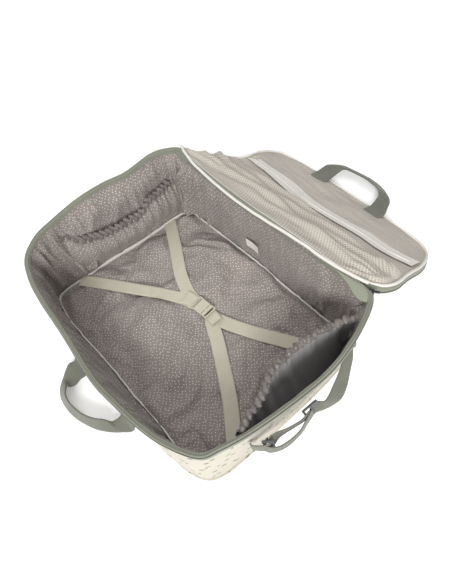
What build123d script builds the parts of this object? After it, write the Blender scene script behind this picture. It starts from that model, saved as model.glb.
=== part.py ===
# Soft travel holdall with a zip lid, standing open: printed canvas outside, dotted lining
# inside, two ruched end pockets, crossed packing straps with a clip, a padded mesh-pocket
# lid laid back on the floor, two webbing carry handles and an adjustable end strap.
# Millimetres, +Z up, origin at the centre of the underside of the base.
from build123d import *
import math
import os

os.makedirs("parts", exist_ok=True)

# ---------------------------------------------------------------- driving dimensions
HEIGHT = 150.0            # wall height, base underside to the rim edge
BASE_HALF_X = 238.0       # outside of the shell at the base
BASE_HALF_Y = 172.0
RIM_HALF_X = 268.0        # outside of the shell at the rim: the open walls splay out
RIM_HALF_Y = 187.0
BASE_CORNER = 28.0
RIM_CORNER = 62.0
CANVAS_T = 2.2            # printed canvas with its thin foam
LINING_T = 1.0            # dotted cotton lining
SKIN_GAP = 0.2
BAND_Z0 = 130.0           # lower edge of the rim band
BAND_Z1 = 146.5
PANEL_SPLIT_X = 168.0     # seam between the long panels and the wrapped end panels

BOARD_T = 3.0             # stiffener board in the base

LID_ANGLE = 33.0          # the open lid slopes down from the hinge
HINGE_Y = 190.5
HINGE_Z = 151.8
LID_HALF_X = 232.0
LID_V0 = 9.0              # hinge side edge of the lid panel, measured from the hinge axis
LID_V1 = 245.0            # free edge
LID_R_HINGE = 16.0
LID_R_FREE = 46.0
LID_T = 12.5
MESH_ZIP_V0 = 106.0       # band that carries the mesh pocket's zip
MESH_ZIP_V1 = 140.0

HANDLE_W = 36.0           # carry handle webbing
HANDLE_T = 2.6
HANDLE_HALF = 72.0        # half the pitch of the handle's two legs
STRAP_W = 25.0            # packing strap and end strap webbing
STRAP_T = 1.6

POCKET_T = 1.2
POCKET_Z0 = 12.2
POCKET_Z1 = 92.0
ELASTIC_H = 9.0

LID_PLANE = Plane(
    origin=(0, HINGE_Y, HINGE_Z),
    x_dir=(1, 0, 0),
    z_dir=(0, math.sin(math.radians(LID_ANGLE)), math.cos(math.radians(LID_ANGLE))),
)


def shell_half(z, inset):
    """Half sizes and corner radius of the shell's plan outline at height z."""
    k = z / HEIGHT
    return (
        BASE_HALF_X + (RIM_HALF_X - BASE_HALF_X) * k - inset,
        BASE_HALF_Y + (RIM_HALF_Y - BASE_HALF_Y) * k - inset,
        BASE_CORNER + (RIM_CORNER - BASE_CORNER) * k - inset,
    )


def shell_ring(inset_out, inset_in, z0, z1):
    """A wall skin all round the bag, between two insets from the outer face."""
    with BuildPart() as ring:
        for z in (z0, z1):
            hx, hy, r = shell_half(z, inset_out)
            with BuildSketch(Plane.XY.offset(z)):
                RectangleRounded(2 * hx, 2 * hy, r)
        loft(ruled=True)
        for z in (z0 - 4, z1 + 4):
            hx, hy, r = shell_half(z, inset_in)
            with BuildSketch(Plane.XY.offset(z)):
                RectangleRounded(2 * hx, 2 * hy, r)
        loft(ruled=True, mode=Mode.SUBTRACT)
    return ring.part


def wall_x(z, inset):
    return shell_half(z, inset)[0]


def wall_y(z, inset):
    return shell_half(z, inset)[1]


def unit(v):
    n = math.sqrt(sum(c * c for c in v))
    return tuple(c / n for c in v)


def section_planes(points, width_dirs):
    """A plane across a webbing path at each point: x along the width, z along the path."""
    planes = []
    n = len(points)
    for i in range(n):
        a = points[max(0, i - 1)]
        b = points[min(n - 1, i + 1)]
        t = unit(tuple(b[k] - a[k] for k in range(3)))
        w = width_dirs[i]
        d = sum(w[k] * t[k] for k in range(3))
        w = unit(tuple(w[k] - d * t[k] for k in range(3)))
        planes.append(Plane(origin=points[i], x_dir=w, z_dir=t))
    return planes


def catmull(ctrl, per_span):
    """Points on a smooth curve through the control points."""
    out = []
    n = len(ctrl)
    for i in range(n - 1):
        p0 = ctrl[max(0, i - 1)]
        p1 = ctrl[i]
        p2 = ctrl[i + 1]
        p3 = ctrl[min(n - 1, i + 2)]
        for s in range(per_span):
            t = s / per_span
            out.append(tuple(
                0.5 * (2 * p1[k] + (p2[k] - p0[k]) * t
                       + (2 * p0[k] - 5 * p1[k] + 4 * p2[k] - p3[k]) * t * t
                       + (3 * p1[k] - p0[k] - 3 * p2[k] + p3[k]) * t ** 3)
                for k in range(len(p1))))
    out.append(tuple(ctrl[-1]))
    return out


def ribbon(planes, width, thick):
    """A flat webbing strip through the section planes, as one closed faceted solid."""
    rings = []
    for pl in planes:
        rings.append([pl.from_local_coords(Vector(sx * width / 2, sy * thick / 2, 0))
                      for sx, sy in ((-1, -1), (1, -1), (1, 1), (-1, 1))])
    tris = []
    for a, b in zip(rings[:-1], rings[1:]):
        for k in range(4):
            m = (k + 1) % 4
            if k < 2:
                tris.append((a[k], a[m], b[m]))
                tris.append((a[k], b[m], b[k]))
            else:
                # the far faces split along the same diagonal, so twisted webbing keeps its thickness
                tris.append((a[k], a[m], b[k]))
                tris.append((a[m], b[m], b[k]))
    for end in (rings[0], rings[-1]):
        tris.append((end[0], end[1], end[2]))
        tris.append((end[0], end[2], end[3]))
    faces = [Face(Wire.make_polygon(list(t), close=True)) for t in tris]
    body = Solid(Shell(faces))
    return body


def lid_outline(inset):
    """The lid's plan outline in the lid plane, drawn inside a BuildSketch."""
    with BuildSketch(mode=Mode.PRIVATE) as outline:
        with Locations((0, (LID_V0 + LID_V1) / 2)):
            Rectangle(2 * (LID_HALF_X - inset), LID_V1 - LID_V0 - 2 * inset)
        fillet(outline.vertices().group_by(Axis.Y)[0], LID_R_HINGE - inset)
        fillet(outline.vertices().group_by(Axis.Y)[-1], LID_R_FREE - inset)
    return outline.sketch


# ================================================================ base
with BuildPart() as outer_base:
    hx, hy, r = shell_half(0, CANVAS_T + 0.1)
    with BuildSketch(Plane.XY):
        RectangleRounded(2 * hx, 2 * hy, r)
    extrude(amount=2.0)
outer_base.part.label = "outer_base"

with BuildPart() as base_board:
    hx, hy, r = shell_half(0, CANVAS_T + 3.5)
    with BuildSketch(Plane.XY.offset(2.2)):
        RectangleRounded(2 * hx, 2 * hy, r)
    extrude(amount=BOARD_T)
base_board.part.label = "base_board"

with BuildPart() as lining_base:
    hx, hy, r = shell_half(0, CANVAS_T + LINING_T + 1.2)
    with BuildSketch(Plane.XY.offset(2.4 + BOARD_T)):
        RectangleRounded(2 * hx, 2 * hy, r)
    extrude(amount=LINING_T)
lining_base.part.label = "lining_base"

# upstanding bound seam round the base lining
BIND_Z0 = 2.4 + BOARD_T + LINING_T + 0.2
with BuildPart() as base_seam_binding:
    with BuildSketch(Plane.XY.offset(BIND_Z0)):
        RectangleRounded(2 * 231.5, 2 * 165.5, 20)
        RectangleRounded(2 * 229.3, 2 * 163.3, 18, mode=Mode.SUBTRACT)
    extrude(amount=5.0)
base_seam_binding.part.label = "base_seam_binding"

# ================================================================ canvas shell, four panels
canvas_ring = shell_ring(0, CANVAS_T, 0, BAND_Z0)

with BuildPart() as outer_front_wall:
    add(canvas_ring)
    with Locations((0, -180, HEIGHT / 2)):
        Box(2 * PANEL_SPLIT_X, 120, HEIGHT + 20, mode=Mode.INTERSECT)
outer_front_wall.part.label = "outer_front_wall"

with BuildPart() as outer_back_wall:
    add(canvas_ring)
    with Locations((0, 180, HEIGHT / 2)):
        Box(2 * PANEL_SPLIT_X, 120, HEIGHT + 20, mode=Mode.INTERSECT)
outer_back_wall.part.label = "outer_back_wall"

END_BOX = 140.0
with BuildPart() as outer_left_wall:
    add(canvas_ring)
    with Locations((-(PANEL_SPLIT_X + 0.2 + END_BOX / 2), 0, HEIGHT / 2)):
        Box(END_BOX, 420, HEIGHT + 20, mode=Mode.INTERSECT)
outer_left_wall.part.label = "outer_left_wall"

with BuildPart() as outer_right_wall:
    add(canvas_ring)
    with Locations((PANEL_SPLIT_X + 0.2 + END_BOX / 2, 0, HEIGHT / 2)):
        Box(END_BOX, 420, HEIGHT + 20, mode=Mode.INTERSECT)
outer_right_wall.part.label = "outer_right_wall"

# ================================================================ lining walls, four panels
lining_ring = shell_ring(CANVAS_T + SKIN_GAP, CANVAS_T + SKIN_GAP + LINING_T, BIND_Z0, BAND_Z0)

with BuildPart() as lining_front_wall:
    add(lining_ring)
    with Locations((0, -180, HEIGHT / 2)):
        Box(2 * PANEL_SPLIT_X, 120, HEIGHT + 20, mode=Mode.INTERSECT)
lining_front_wall.part.label = "lining_front_wall"

with BuildPart() as lining_back_wall:
    add(lining_ring)
    with Locations((0, 180, HEIGHT / 2)):
        Box(2 * PANEL_SPLIT_X, 120, HEIGHT + 20, mode=Mode.INTERSECT)
lining_back_wall.part.label = "lining_back_wall"

with BuildPart() as lining_left_wall:
    add(lining_ring)
    with Locations((-(PANEL_SPLIT_X + 0.2 + END_BOX / 2), 0, HEIGHT / 2)):
        Box(END_BOX, 420, HEIGHT + 20, mode=Mode.INTERSECT)
lining_left_wall.part.label = "lining_left_wall"

with BuildPart() as lining_right_wall:
    add(lining_ring)
    with Locations((PANEL_SPLIT_X + 0.2 + END_BOX / 2, 0, HEIGHT / 2)):
        Box(END_BOX, 420, HEIGHT + 20, mode=Mode.INTERSECT)
lining_right_wall.part.label = "lining_right_wall"

# ================================================================ rim band, zip half on the body
with BuildPart() as rim_band:
    add(shell_ring(0, CANVAS_T + SKIN_GAP + LINING_T, BAND_Z0 + 0.2, BAND_Z1))
rim_band.part.label = "rim_band"

ZIP_END_Y = 150.0         # the zip stops in the back corners
with BuildPart() as body_zip_tape:
    add(shell_ring(1.0, 2.0, BAND_Z1 + 0.1, HEIGHT - 0.6))
    with Locations((0, ZIP_END_Y - 400, HEIGHT)):
        Box(700, 800, 40, mode=Mode.INTERSECT)
body_zip_tape.part.label = "body_zip_tape"

with BuildPart() as body_zip_coil:
    add(shell_ring(2.1, 3.3, BAND_Z1 + 0.8, HEIGHT))
    with Locations((0, ZIP_END_Y - 402, HEIGHT)):
        Box(700, 800, 40, mode=Mode.INTERSECT)
body_zip_coil.part.label = "body_zip_coil"

# cream piping sewn along the back rim, on the hinge side
with BuildPart() as hinge_piping:
    with BuildSketch(Plane.YZ.offset(-205)):
        with Locations((wall_y(BAND_Z1, 1.6), BAND_Z1 + 1.8)):
            Circle(1.6)
    extrude(amount=410)
hinge_piping.part.label = "hinge_piping"

# main zip slider parked in the back right corner, with its pull
CORNER_X = RIM_HALF_X - RIM_CORNER
CORNER_Y = RIM_HALF_Y - RIM_CORNER
SLIDER_A = 58.0           # where it is parked round the corner, degrees from +X
slider_pos = (
    CORNER_X + (RIM_CORNER - 2.1) * math.cos(math.radians(SLIDER_A)),
    CORNER_Y + (RIM_CORNER - 2.1) * math.sin(math.radians(SLIDER_A)),
)
SLIDER_PLANE = Plane(
    origin=(slider_pos[0], slider_pos[1], HEIGHT + 0.4),
    x_dir=(-math.sin(math.radians(SLIDER_A)), math.cos(math.radians(SLIDER_A)), 0),
    z_dir=(0, 0, 1),
)
with BuildPart() as zip_slider:
    with BuildSketch(SLIDER_PLANE):
        RectangleRounded(12, 7, 2.5)
    extrude(amount=2.4)
    with BuildSketch(SLIDER_PLANE.offset(2.4)):
        Rectangle(7, 1.6)
    extrude(amount=2.6)
zip_slider.part.label = "zip_slider"

with BuildPart() as zip_pull:
    with BuildSketch(SLIDER_PLANE.offset(2.6)):
        with Locations((0, -11)):
            RectangleRounded(6.5, 15, 2)
        with Locations((0, -6.2)):
            RectangleRounded(4.5, 2.4, 1, mode=Mode.SUBTRACT)
    extrude(amount=1.4)
zip_pull.part.label = "zip_pull"

# ================================================================ end pockets
def pocket_outline(side, depth, z, t_in, t_out):
    """Plan outline of a pocket panel at height z: it leaves the wall at both ends and
    stands off it by depth in between. t_in and t_out shift the two faces."""
    hx = wall_x(z, CANVAS_T + SKIN_GAP + LINING_T + 0.3)
    ends = 138.0
    knee = 92.0
    mid = hx - depth
    k2 = 46.0
    outer = [(hx - t_out, -ends), (mid + depth * 0.22 - t_out, -knee), (mid - t_out, -k2),
             (mid - t_out, k2), (mid + depth * 0.22 - t_out, knee), (hx - t_out, ends)]
    inner = [(x - t_in, y) for x, y in reversed(outer)]
    return [(side * x, y) for x, y in outer + inner]


LEFT_DEPTH = 26.0         # how far each pocket's mouth stands off the wall
RIGHT_DEPTH = 42.0

with BuildPart() as pocket_left_panel:
    for z, d in ((POCKET_Z0, 5.0), (POCKET_Z1, LEFT_DEPTH)):
        with BuildSketch(Plane.XY.offset(z)):
            with BuildLine():
                Polyline(*pocket_outline(-1, d, z, POCKET_T, 0.0), close=True)
            make_face()
    loft(ruled=True)
pocket_left_panel.part.label = "pocket_left_panel"

with BuildPart() as pocket_left_elastic:
    with BuildSketch(Plane.XY.offset(POCKET_Z1 + 0.2)):
        with BuildLine():
            Polyline(*pocket_outline(-1, LEFT_DEPTH, POCKET_Z1, 4.0, 0.0), close=True)
        make_face()
    extrude(amount=ELASTIC_H)
pocket_left_elastic.part.label = "pocket_left_elastic"

with BuildPart() as pocket_right_panel:
    for z, d in ((POCKET_Z0, 5.0), (POCKET_Z1, RIGHT_DEPTH)):
        with BuildSketch(Plane.XY.offset(z)):
            with BuildLine():
                Polyline(*pocket_outline(1, d, z, POCKET_T, 0.0), close=True)
            make_face()
    loft(ruled=True)
pocket_right_panel.part.label = "pocket_right_panel"

with BuildPart() as pocket_right_elastic:
    with BuildSketch(Plane.XY.offset(POCKET_Z1 + 0.2)):
        with BuildLine():
            Polyline(*pocket_outline(1, RIGHT_DEPTH, POCKET_Z1, 4.0, 0.0), close=True)
        make_face()
    extrude(amount=ELASTIC_H)
pocket_right_elastic.part.label = "pocket_right_elastic"

# care label on the back lining
with BuildPart() as care_label:
    with BuildSketch(Plane.XZ.offset(-(wall_y(72, CANVAS_T + SKIN_GAP + LINING_T) - 3.0))):
        with Locations((2, 74)):
            Rectangle(34, 20)
    extrude(amount=0.5)
care_label.part.label = "care_label"

# ================================================================ packing straps
STRAP_Z = 13.0            # the slack straps lie just above the base seam
BUCKLE_Z = 11.0
BUCKLE_X = -4.0
BUCKLE_Y = 26.0


def strap_leg(x0, y0, x1, y1):
    """Centre line of one leg, from its sewn end near the base seam to the yoke."""
    ctrl = [(x0, y0, BIND_Z0 + 6.2), (x0 * 0.94 + x1 * 0.06, y0 * 0.94 + y1 * 0.06, STRAP_Z + 2),
            (x0 * 0.5 + x1 * 0.5, y0 * 0.5 + y1 * 0.5, STRAP_Z),
            (x1, y1, STRAP_Z)]
    return catmull(ctrl, 3)


def strap_width(points):
    dx = points[-1][0] - points[0][0]
    dy = points[-1][1] - points[0][1]
    n = math.hypot(dx, dy)
    return [(-dy / n, dx / n, 0)] * len(points)


with BuildPart() as packing_strap_left_front:
    pts = strap_leg(-216, -98, -64, 6)
    add(ribbon(section_planes(pts, strap_width(pts)), STRAP_W, STRAP_T))
packing_strap_left_front.part.label = "packing_strap_left_front"

with BuildPart() as packing_strap_left_rear:
    pts = strap_leg(-215, 109, -64, 46)
    add(ribbon(section_planes(pts, strap_width(pts)), STRAP_W, STRAP_T))
packing_strap_left_rear.part.label = "packing_strap_left_rear"

with BuildPart() as packing_strap_right_front:
    pts = strap_leg(216, -96, 66, 6)
    add(ribbon(section_planes(pts, strap_width(pts)), STRAP_W, STRAP_T))
packing_strap_right_front.part.label = "packing_strap_right_front"

with BuildPart() as packing_strap_right_rear:
    pts = strap_leg(214, 105, 66, 46)
    add(ribbon(section_planes(pts, strap_width(pts)), STRAP_W, STRAP_T))
packing_strap_right_rear.part.label = "packing_strap_right_rear"

# sewn yokes: each joins two legs and carries one half of the clip
YOKE_Z0 = STRAP_Z - STRAP_T / 2
with BuildPart() as strap_yoke_left:
    with BuildSketch(Plane.XY.offset(YOKE_Z0)):
        with BuildLine():
            Polyline((-24, BUCKLE_Y - 12.5), (-24, BUCKLE_Y + 12.5), (-40, BUCKLE_Y + 14),
                     (-56, BUCKLE_Y + 26), (-62, BUCKLE_Y + 8), (-50, BUCKLE_Y),
                     (-62, BUCKLE_Y - 8), (-56, BUCKLE_Y - 26), (-40, BUCKLE_Y - 14), close=True)
        make_face()
    extrude(amount=STRAP_T)
strap_yoke_left.part.label = "strap_yoke_left"

with BuildPart() as strap_yoke_right:
    with BuildSketch(Plane.XY.offset(YOKE_Z0)):
        with BuildLine():
            Polyline((43, BUCKLE_Y - 12.5), (43, BUCKLE_Y + 12.5), (48, BUCKLE_Y + 14),
                     (58, BUCKLE_Y + 26), (64, BUCKLE_Y + 8), (52, BUCKLE_Y),
                     (64, BUCKLE_Y - 8), (58, BUCKLE_Y - 26), (48, BUCKLE_Y - 14), close=True)
        make_face()
    extrude(amount=STRAP_T)
strap_yoke_right.part.label = "strap_yoke_right"

# side-release clip: a hollow female half and a three-prong male half
with BuildPart() as buckle_female:
    with BuildSketch(Plane.XY.offset(BUCKLE_Z)):
        with Locations((BUCKLE_X - 4, BUCKLE_Y)):
            RectangleRounded(30, 30, 4)
    extrude(amount=8)
    with Locations((BUCKLE_X + 4, BUCKLE_Y, BUCKLE_Z + 4)):
        Box(30, 24, 4.6, mode=Mode.SUBTRACT)
    # bar slot that the yoke's webbing is sewn round
    with Locations((BUCKLE_X - 15.6, BUCKLE_Y, BUCKLE_Z + 4)):
        Box(2.4, 25.5, 12, mode=Mode.SUBTRACT)
    # side windows for the release arms
    with Locations((BUCKLE_X + 1, BUCKLE_Y + 13.5, BUCKLE_Z + 4), (BUCKLE_X + 1, BUCKLE_Y - 13.5, BUCKLE_Z + 4)):
        Box(10, 6, 4.6, mode=Mode.SUBTRACT)
buckle_female.part.label = "buckle_female"

with BuildPart() as buckle_male:
    # body and webbing bar
    with BuildSketch(Plane.XY.offset(BUCKLE_Z)):
        with Locations((BUCKLE_X + 19.5, BUCKLE_Y)):
            RectangleRounded(15, 28, 3)
    extrude(amount=8)
    with Locations((BUCKLE_X + 22.5, BUCKLE_Y, BUCKLE_Z + 4)):
        Box(3.0, 25.5, 12, mode=Mode.SUBTRACT)
    # middle prong
    with Locations((BUCKLE_X + 5, BUCKLE_Y, BUCKLE_Z + 4)):
        Box(20, 5, 3.4)
    # side arms
    with Locations((BUCKLE_X + 4.5, BUCKLE_Y + 9.2, BUCKLE_Z + 4), (BUCKLE_X + 4.5, BUCKLE_Y - 9.2, BUCKLE_Z + 4)):
        Box(21, 3.2, 3.4)
buckle_male.part.label = "buckle_male"

# webbing tail doubled back from the male half, over the right yoke
with BuildPart() as buckle_tail:
    with BuildSketch(Plane.XY.offset(YOKE_Z0 + STRAP_T + 0.5)):
        with Locations((BUCKLE_X + 48, BUCKLE_Y)):
            Rectangle(40, 23)
    extrude(amount=STRAP_T)
buckle_tail.part.label = "buckle_tail"

# ================================================================ carry handles
def handle_path(half, out, z_leg, z_grip, y_root, z_root, bow):
    """Half of a limp webbing handle that lies outwards: a leg with its width along X,
    twisting at the corner into a grip that stands on edge."""
    ctrl = [
        (-half, y_root, z_root),
        (-half + 1, y_root - 0.30 * out, z_leg + 0.45 * (z_root - z_leg)),
        (-half + 3, y_root - 0.58 * out, z_leg + 4),
        (-half * 0.80, y_root - 0.86 * out, z_leg + 11),
        (-half * 0.48, y_root - 0.985 * out, z_grip),
        (0, y_root - out - bow, z_grip),
    ]
    wid = [(1, 0, 0), (1, 0, 0), (0.95, 0.1, -0.25), (0.5, 0.45, -0.75), (0.12, -0.1, -0.98), (0, -0.34, -0.94)]
    return ctrl, wid


def handle_planes(ctrl, wid):
    """Section planes of half a handle, ending square on its plane of symmetry."""
    planes = section_planes(catmull(ctrl, 3), catmull(wid, 3))
    planes[-1] = Plane(origin=ctrl[-1], x_dir=unit(wid[-1]), z_dir=(1, 0, 0))
    return planes


HANDLE_PIVOT_Y = -187.0
HANDLE_PIVOT_Z = 44.0
fh_ctrl, fh_wid = handle_path(HANDLE_HALF, 70.0, 10.0, 19.0, HANDLE_PIVOT_Y - 3.0, HANDLE_PIVOT_Z, 2.0)
with BuildPart() as front_handle:
    add(ribbon(handle_planes(fh_ctrl, fh_wid), HANDLE_W, HANDLE_T))
    mirror(about=Plane.YZ)
front_handle.part.label = "front_handle"

# sewn patches where the front handle's legs meet the wall
def wall_plane_front(z):
    lean = math.atan2(RIM_HALF_Y - BASE_HALF_Y, HEIGHT)
    return Plane(origin=(0, -wall_y(z, 0) - 0.3, z), x_dir=(1, 0, 0),
                 z_dir=(0, -math.cos(lean), -math.sin(lean)))


with BuildPart() as front_handle_patches:
    with BuildSketch(wall_plane_front(72)):
        with Locations((-HANDLE_HALF, 0), (HANDLE_HALF, 0)):
            Rectangle(HANDLE_W, 50)
    extrude(amount=HANDLE_T)
front_handle_patches.part.label = "front_handle_patches"

# ================================================================ end strap on the right wall
with BuildPart() as end_strap_tab:
    with BuildSketch(Plane.XY.offset(92)):
        with Locations((wall_x(108, -2.2) + 1.2, -83)):
            Rectangle(2.4, STRAP_W)
    extrude(amount=22)
end_strap_tab.part.label = "end_strap_tab"

with BuildPart() as end_strap_anchor:
    with BuildSketch(Plane.XY.offset(122)):
        with Locations((wall_x(137, -2.2) + 1.0, 101)):
            Rectangle(2.0, STRAP_W)
    extrude(amount=15)
end_strap_anchor.part.label = "end_strap_anchor"

RING_C = (277.5, -62.0, 97.0)
WEB_N = (0.871, 0.140, 0.471)      # face normal of the webbing along the straight stretch
WEB_W = (0.45, -0.20, -0.87)       # its width direction
ring_plane = Plane(origin=RING_C, x_dir=WEB_W, z_dir=WEB_N)
with BuildPart() as strap_ring:
    with BuildSketch(ring_plane):
        RectangleRounded(34, 15, 4)
        RectangleRounded(28, 9, 2.5, mode=Mode.SUBTRACT)
    extrude(amount=1.5, both=True)
strap_ring.part.label = "strap_ring"

with BuildPart() as end_strap_upper:
    ctrl = [(272.8, 101, 119), (274, 97, 106), (277, 86, 90), (280, 68, 77), (280.0, 50, 74), (277.6, 31, 80)]
    wid = [(0, 1, 0), (0.05, 0.97, -0.22), (0.4, 0.62, -0.62), (0.6, 0.25, -0.72), (0.6, 0, -0.8), (0.5, -0.2, -0.84)]
    add(ribbon(section_planes(catmull(ctrl, 3), catmull(wid, 3)), STRAP_W, STRAP_T))
end_strap_upper.part.label = "end_strap_upper"

# the webbing runs from the tri-glide through the ring and back, slack on its outer run
with BuildPart() as end_strap_loop:
    ctrl = [(273.8, 6, 86), (273.6, -20, 92), (274.0, -44, 93.5), (274.6, -56, 94.0), (277.4, -60.6, 96.4),
            (280.9, -56, 97.0), (284.5, -44, 89), (286, -28, 81), (284.5, -10, 81), (281.6, 6, 86.5)]
    add(ribbon(section_planes(catmull(ctrl, 3), [WEB_W] * (3 * 9 + 1)), STRAP_W, STRAP_T))
end_strap_loop.part.label = "end_strap_loop"

TRI_C = (277.0, 18.0, 84.0)
tri_plane = Plane(origin=TRI_C, x_dir=(0.0, 0.96, -0.28), z_dir=WEB_N)
with BuildPart() as tri_glide:
    with BuildSketch(tri_plane):
        RectangleRounded(22, 31, 3)
        with Locations((-5, 0), (5, 0)):
            RectangleRounded(6, 25.5, 1, mode=Mode.SUBTRACT)
    extrude(amount=1.5, both=True)
tri_glide.part.label = "tri_glide"

# ================================================================ lid
with BuildPart() as lid_side_band:
    with BuildSketch(LID_PLANE.offset(-LID_T)):
        add(lid_outline(0))
        add(lid_outline(2.4), mode=Mode.SUBTRACT)
    extrude(amount=LID_T - 1.2)
lid_side_band.part.label = "lid_side_band"

with BuildPart() as lid_outer_panel:
    with BuildSketch(LID_PLANE.offset(-LID_T)):
        add(lid_outline(2.6))
    extrude(amount=1.6)
lid_outer_panel.part.label = "lid_outer_panel"

with BuildPart() as lid_foam:
    with BuildSketch(LID_PLANE.offset(-LID_T + 1.8)):
        add(lid_outline(2.8))
    extrude(amount=7.4)
lid_foam.part.label = "lid_foam"

with BuildPart() as lid_lining:
    with BuildSketch(LID_PLANE.offset(-3.1)):
        add(lid_outline(2.6))
    extrude(amount=0.9)
lid_lining.part.label = "lid_lining"

with BuildPart() as lid_mesh_rear:
    with BuildSketch(LID_PLANE.offset(-1.9)):
        add(lid_outline(2.6))
        with Locations((0, MESH_ZIP_V0 + 200)):
            Rectangle(600, 400, mode=Mode.SUBTRACT)
    extrude(amount=0.8)
lid_mesh_rear.part.label = "lid_mesh_rear"

with BuildPart() as lid_mesh_front:
    with BuildSketch(LID_PLANE.offset(-1.9)):
        add(lid_outline(2.6))
        with Locations((0, MESH_ZIP_V1 - 200)):
            Rectangle(600, 400, mode=Mode.SUBTRACT)
    extrude(amount=0.8)
lid_mesh_front.part.label = "lid_mesh_front"

MESH_ZIP_MID = (MESH_ZIP_V0 + MESH_ZIP_V1) / 2
with BuildPart() as mesh_zip_tape:
    with BuildSketch(LID_PLANE.offset(-1.9)):
        with Locations((0, MESH_ZIP_MID)):
            Rectangle(2 * (LID_HALF_X - 2.8), MESH_ZIP_V1 - MESH_ZIP_V0 - 0.4)
    extrude(amount=1.3)
mesh_zip_tape.part.label = "mesh_zip_tape"

with BuildPart() as mesh_zip_coil:
    with BuildSketch(LID_PLANE.offset(-0.5)):
        with Locations((0, MESH_ZIP_MID)):
            Rectangle(420, 5)
    extrude(amount=1.4)
mesh_zip_coil.part.label = "mesh_zip_coil"

MESH_SLIDER_X = -176.0
mesh_slider_plane = LID_PLANE.offset(1.1)
with BuildPart() as mesh_slider:
    with BuildSketch(mesh_slider_plane):
        with Locations((MESH_SLIDER_X, MESH_ZIP_MID)):
            RectangleRounded(11, 8, 2.5)
    extrude(amount=2.0)
    with BuildSketch(mesh_slider_plane.offset(2.0)):
        with Locations((MESH_SLIDER_X, MESH_ZIP_MID)):
            Rectangle(6, 1.4)
    extrude(amount=2.2)
mesh_slider.part.label = "mesh_slider"

with BuildPart() as mesh_pull:
    with BuildSketch(mesh_slider_plane.offset(2.3)):
        with Locations((MESH_SLIDER_X, MESH_ZIP_MID + 9.5)):
            RectangleRounded(5, 14, 1.6)
        with Locations((MESH_SLIDER_X, MESH_ZIP_MID + 4.6)):
            RectangleRounded(3.4, 1.8, 0.8, mode=Mode.SUBTRACT)
    extrude(amount=1.2)
mesh_pull.part.label = "mesh_pull"

with BuildPart() as lid_binding:
    with BuildSketch(LID_PLANE.offset(-1.0)):
        add(lid_outline(0))
        add(lid_outline(2.4), mode=Mode.SUBTRACT)
    extrude(amount=1.2)
lid_binding.part.label = "lid_binding"

with BuildPart() as lid_zip_tape:
    with BuildSketch(LID_PLANE.offset(-7.4)):
        add(lid_outline(-4.0))
        add(lid_outline(-0.2), mode=Mode.SUBTRACT)
        with Locations((0, 20 - 100)):
            Rectangle(600, 200, mode=Mode.SUBTRACT)
    extrude(amount=1.0)
lid_zip_tape.part.label = "lid_zip_tape"

with BuildPart() as lid_zip_coil:
    with BuildSketch(LID_PLANE.offset(-8.0)):
        add(lid_outline(-6.2))
        add(lid_outline(-4.2), mode=Mode.SUBTRACT)
        with Locations((0, 22 - 100)):
            Rectangle(600, 200, mode=Mode.SUBTRACT)
    extrude(amount=2.2)
lid_zip_coil.part.label = "lid_zip_coil"

with BuildPart() as lid_handle_patches:
    with BuildSketch(LID_PLANE.offset(-LID_T - 0.2)):
        with Locations((-HANDLE_HALF, LID_V1 - 36), (HANDLE_HALF, LID_V1 - 36)):
            Rectangle(HANDLE_W, 50)
    extrude(amount=-2.2)
lid_handle_patches.part.label = "lid_handle_patches"

LV = math.radians(LID_ANGLE)


def lid_point(x, v, w):
    """A point given in the lid plane's coordinates, in the bag's frame."""
    return (x, HINGE_Y + v * math.cos(LV) + w * math.sin(LV), HINGE_Z - v * math.sin(LV) + w * math.cos(LV))


lh_root = lid_point(0, LID_V1 + 11.0, -LID_T + 3.5)
lh_half_ctrl, lh_half_wid = handle_path(HANDLE_HALF, 60.0, 10.0, 18.8, 0.0, lh_root[2], 1.0)
lh_half_ctrl = [(x, lh_root[1] - y, z) for x, y, z in lh_half_ctrl]
lh_half_wid = [(a, -b, c) for a, b, c in lh_half_wid]
with BuildPart() as lid_handle:
    add(ribbon(handle_planes(lh_half_ctrl, lh_half_wid), HANDLE_W, HANDLE_T))
    mirror(about=Plane.YZ)
lid_handle.part.label = "lid_handle"

pieces = [
    outer_base, base_board, lining_base, base_seam_binding,
    outer_front_wall, outer_back_wall, outer_left_wall, outer_right_wall,
    lining_front_wall, lining_back_wall, lining_left_wall, lining_right_wall,
    rim_band, body_zip_tape, body_zip_coil, hinge_piping, zip_slider, zip_pull,
    pocket_left_panel, pocket_left_elastic, pocket_right_panel, pocket_right_elastic,
    care_label,
    packing_strap_left_front, packing_strap_left_rear,
    packing_strap_right_front, packing_strap_right_rear,
    strap_yoke_left, strap_yoke_right, buckle_female, buckle_male, buckle_tail,
    front_handle, front_handle_patches,
    end_strap_tab, end_strap_anchor, strap_ring, end_strap_upper, end_strap_loop, tri_glide,
    lid_side_band, lid_outer_panel, lid_foam, lid_lining, lid_mesh_rear, lid_mesh_front,
    mesh_zip_tape, mesh_zip_coil, mesh_slider, mesh_pull,
    lid_binding, lid_zip_tape, lid_zip_coil, lid_handle_patches, lid_handle,
]
for piece in pieces:
    export_step(piece.part, "parts/" + piece.part.label + ".step")
print(len(pieces), "pieces written")
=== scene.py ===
import math

import bpy
import numpy as np
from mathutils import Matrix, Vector, noise


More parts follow.
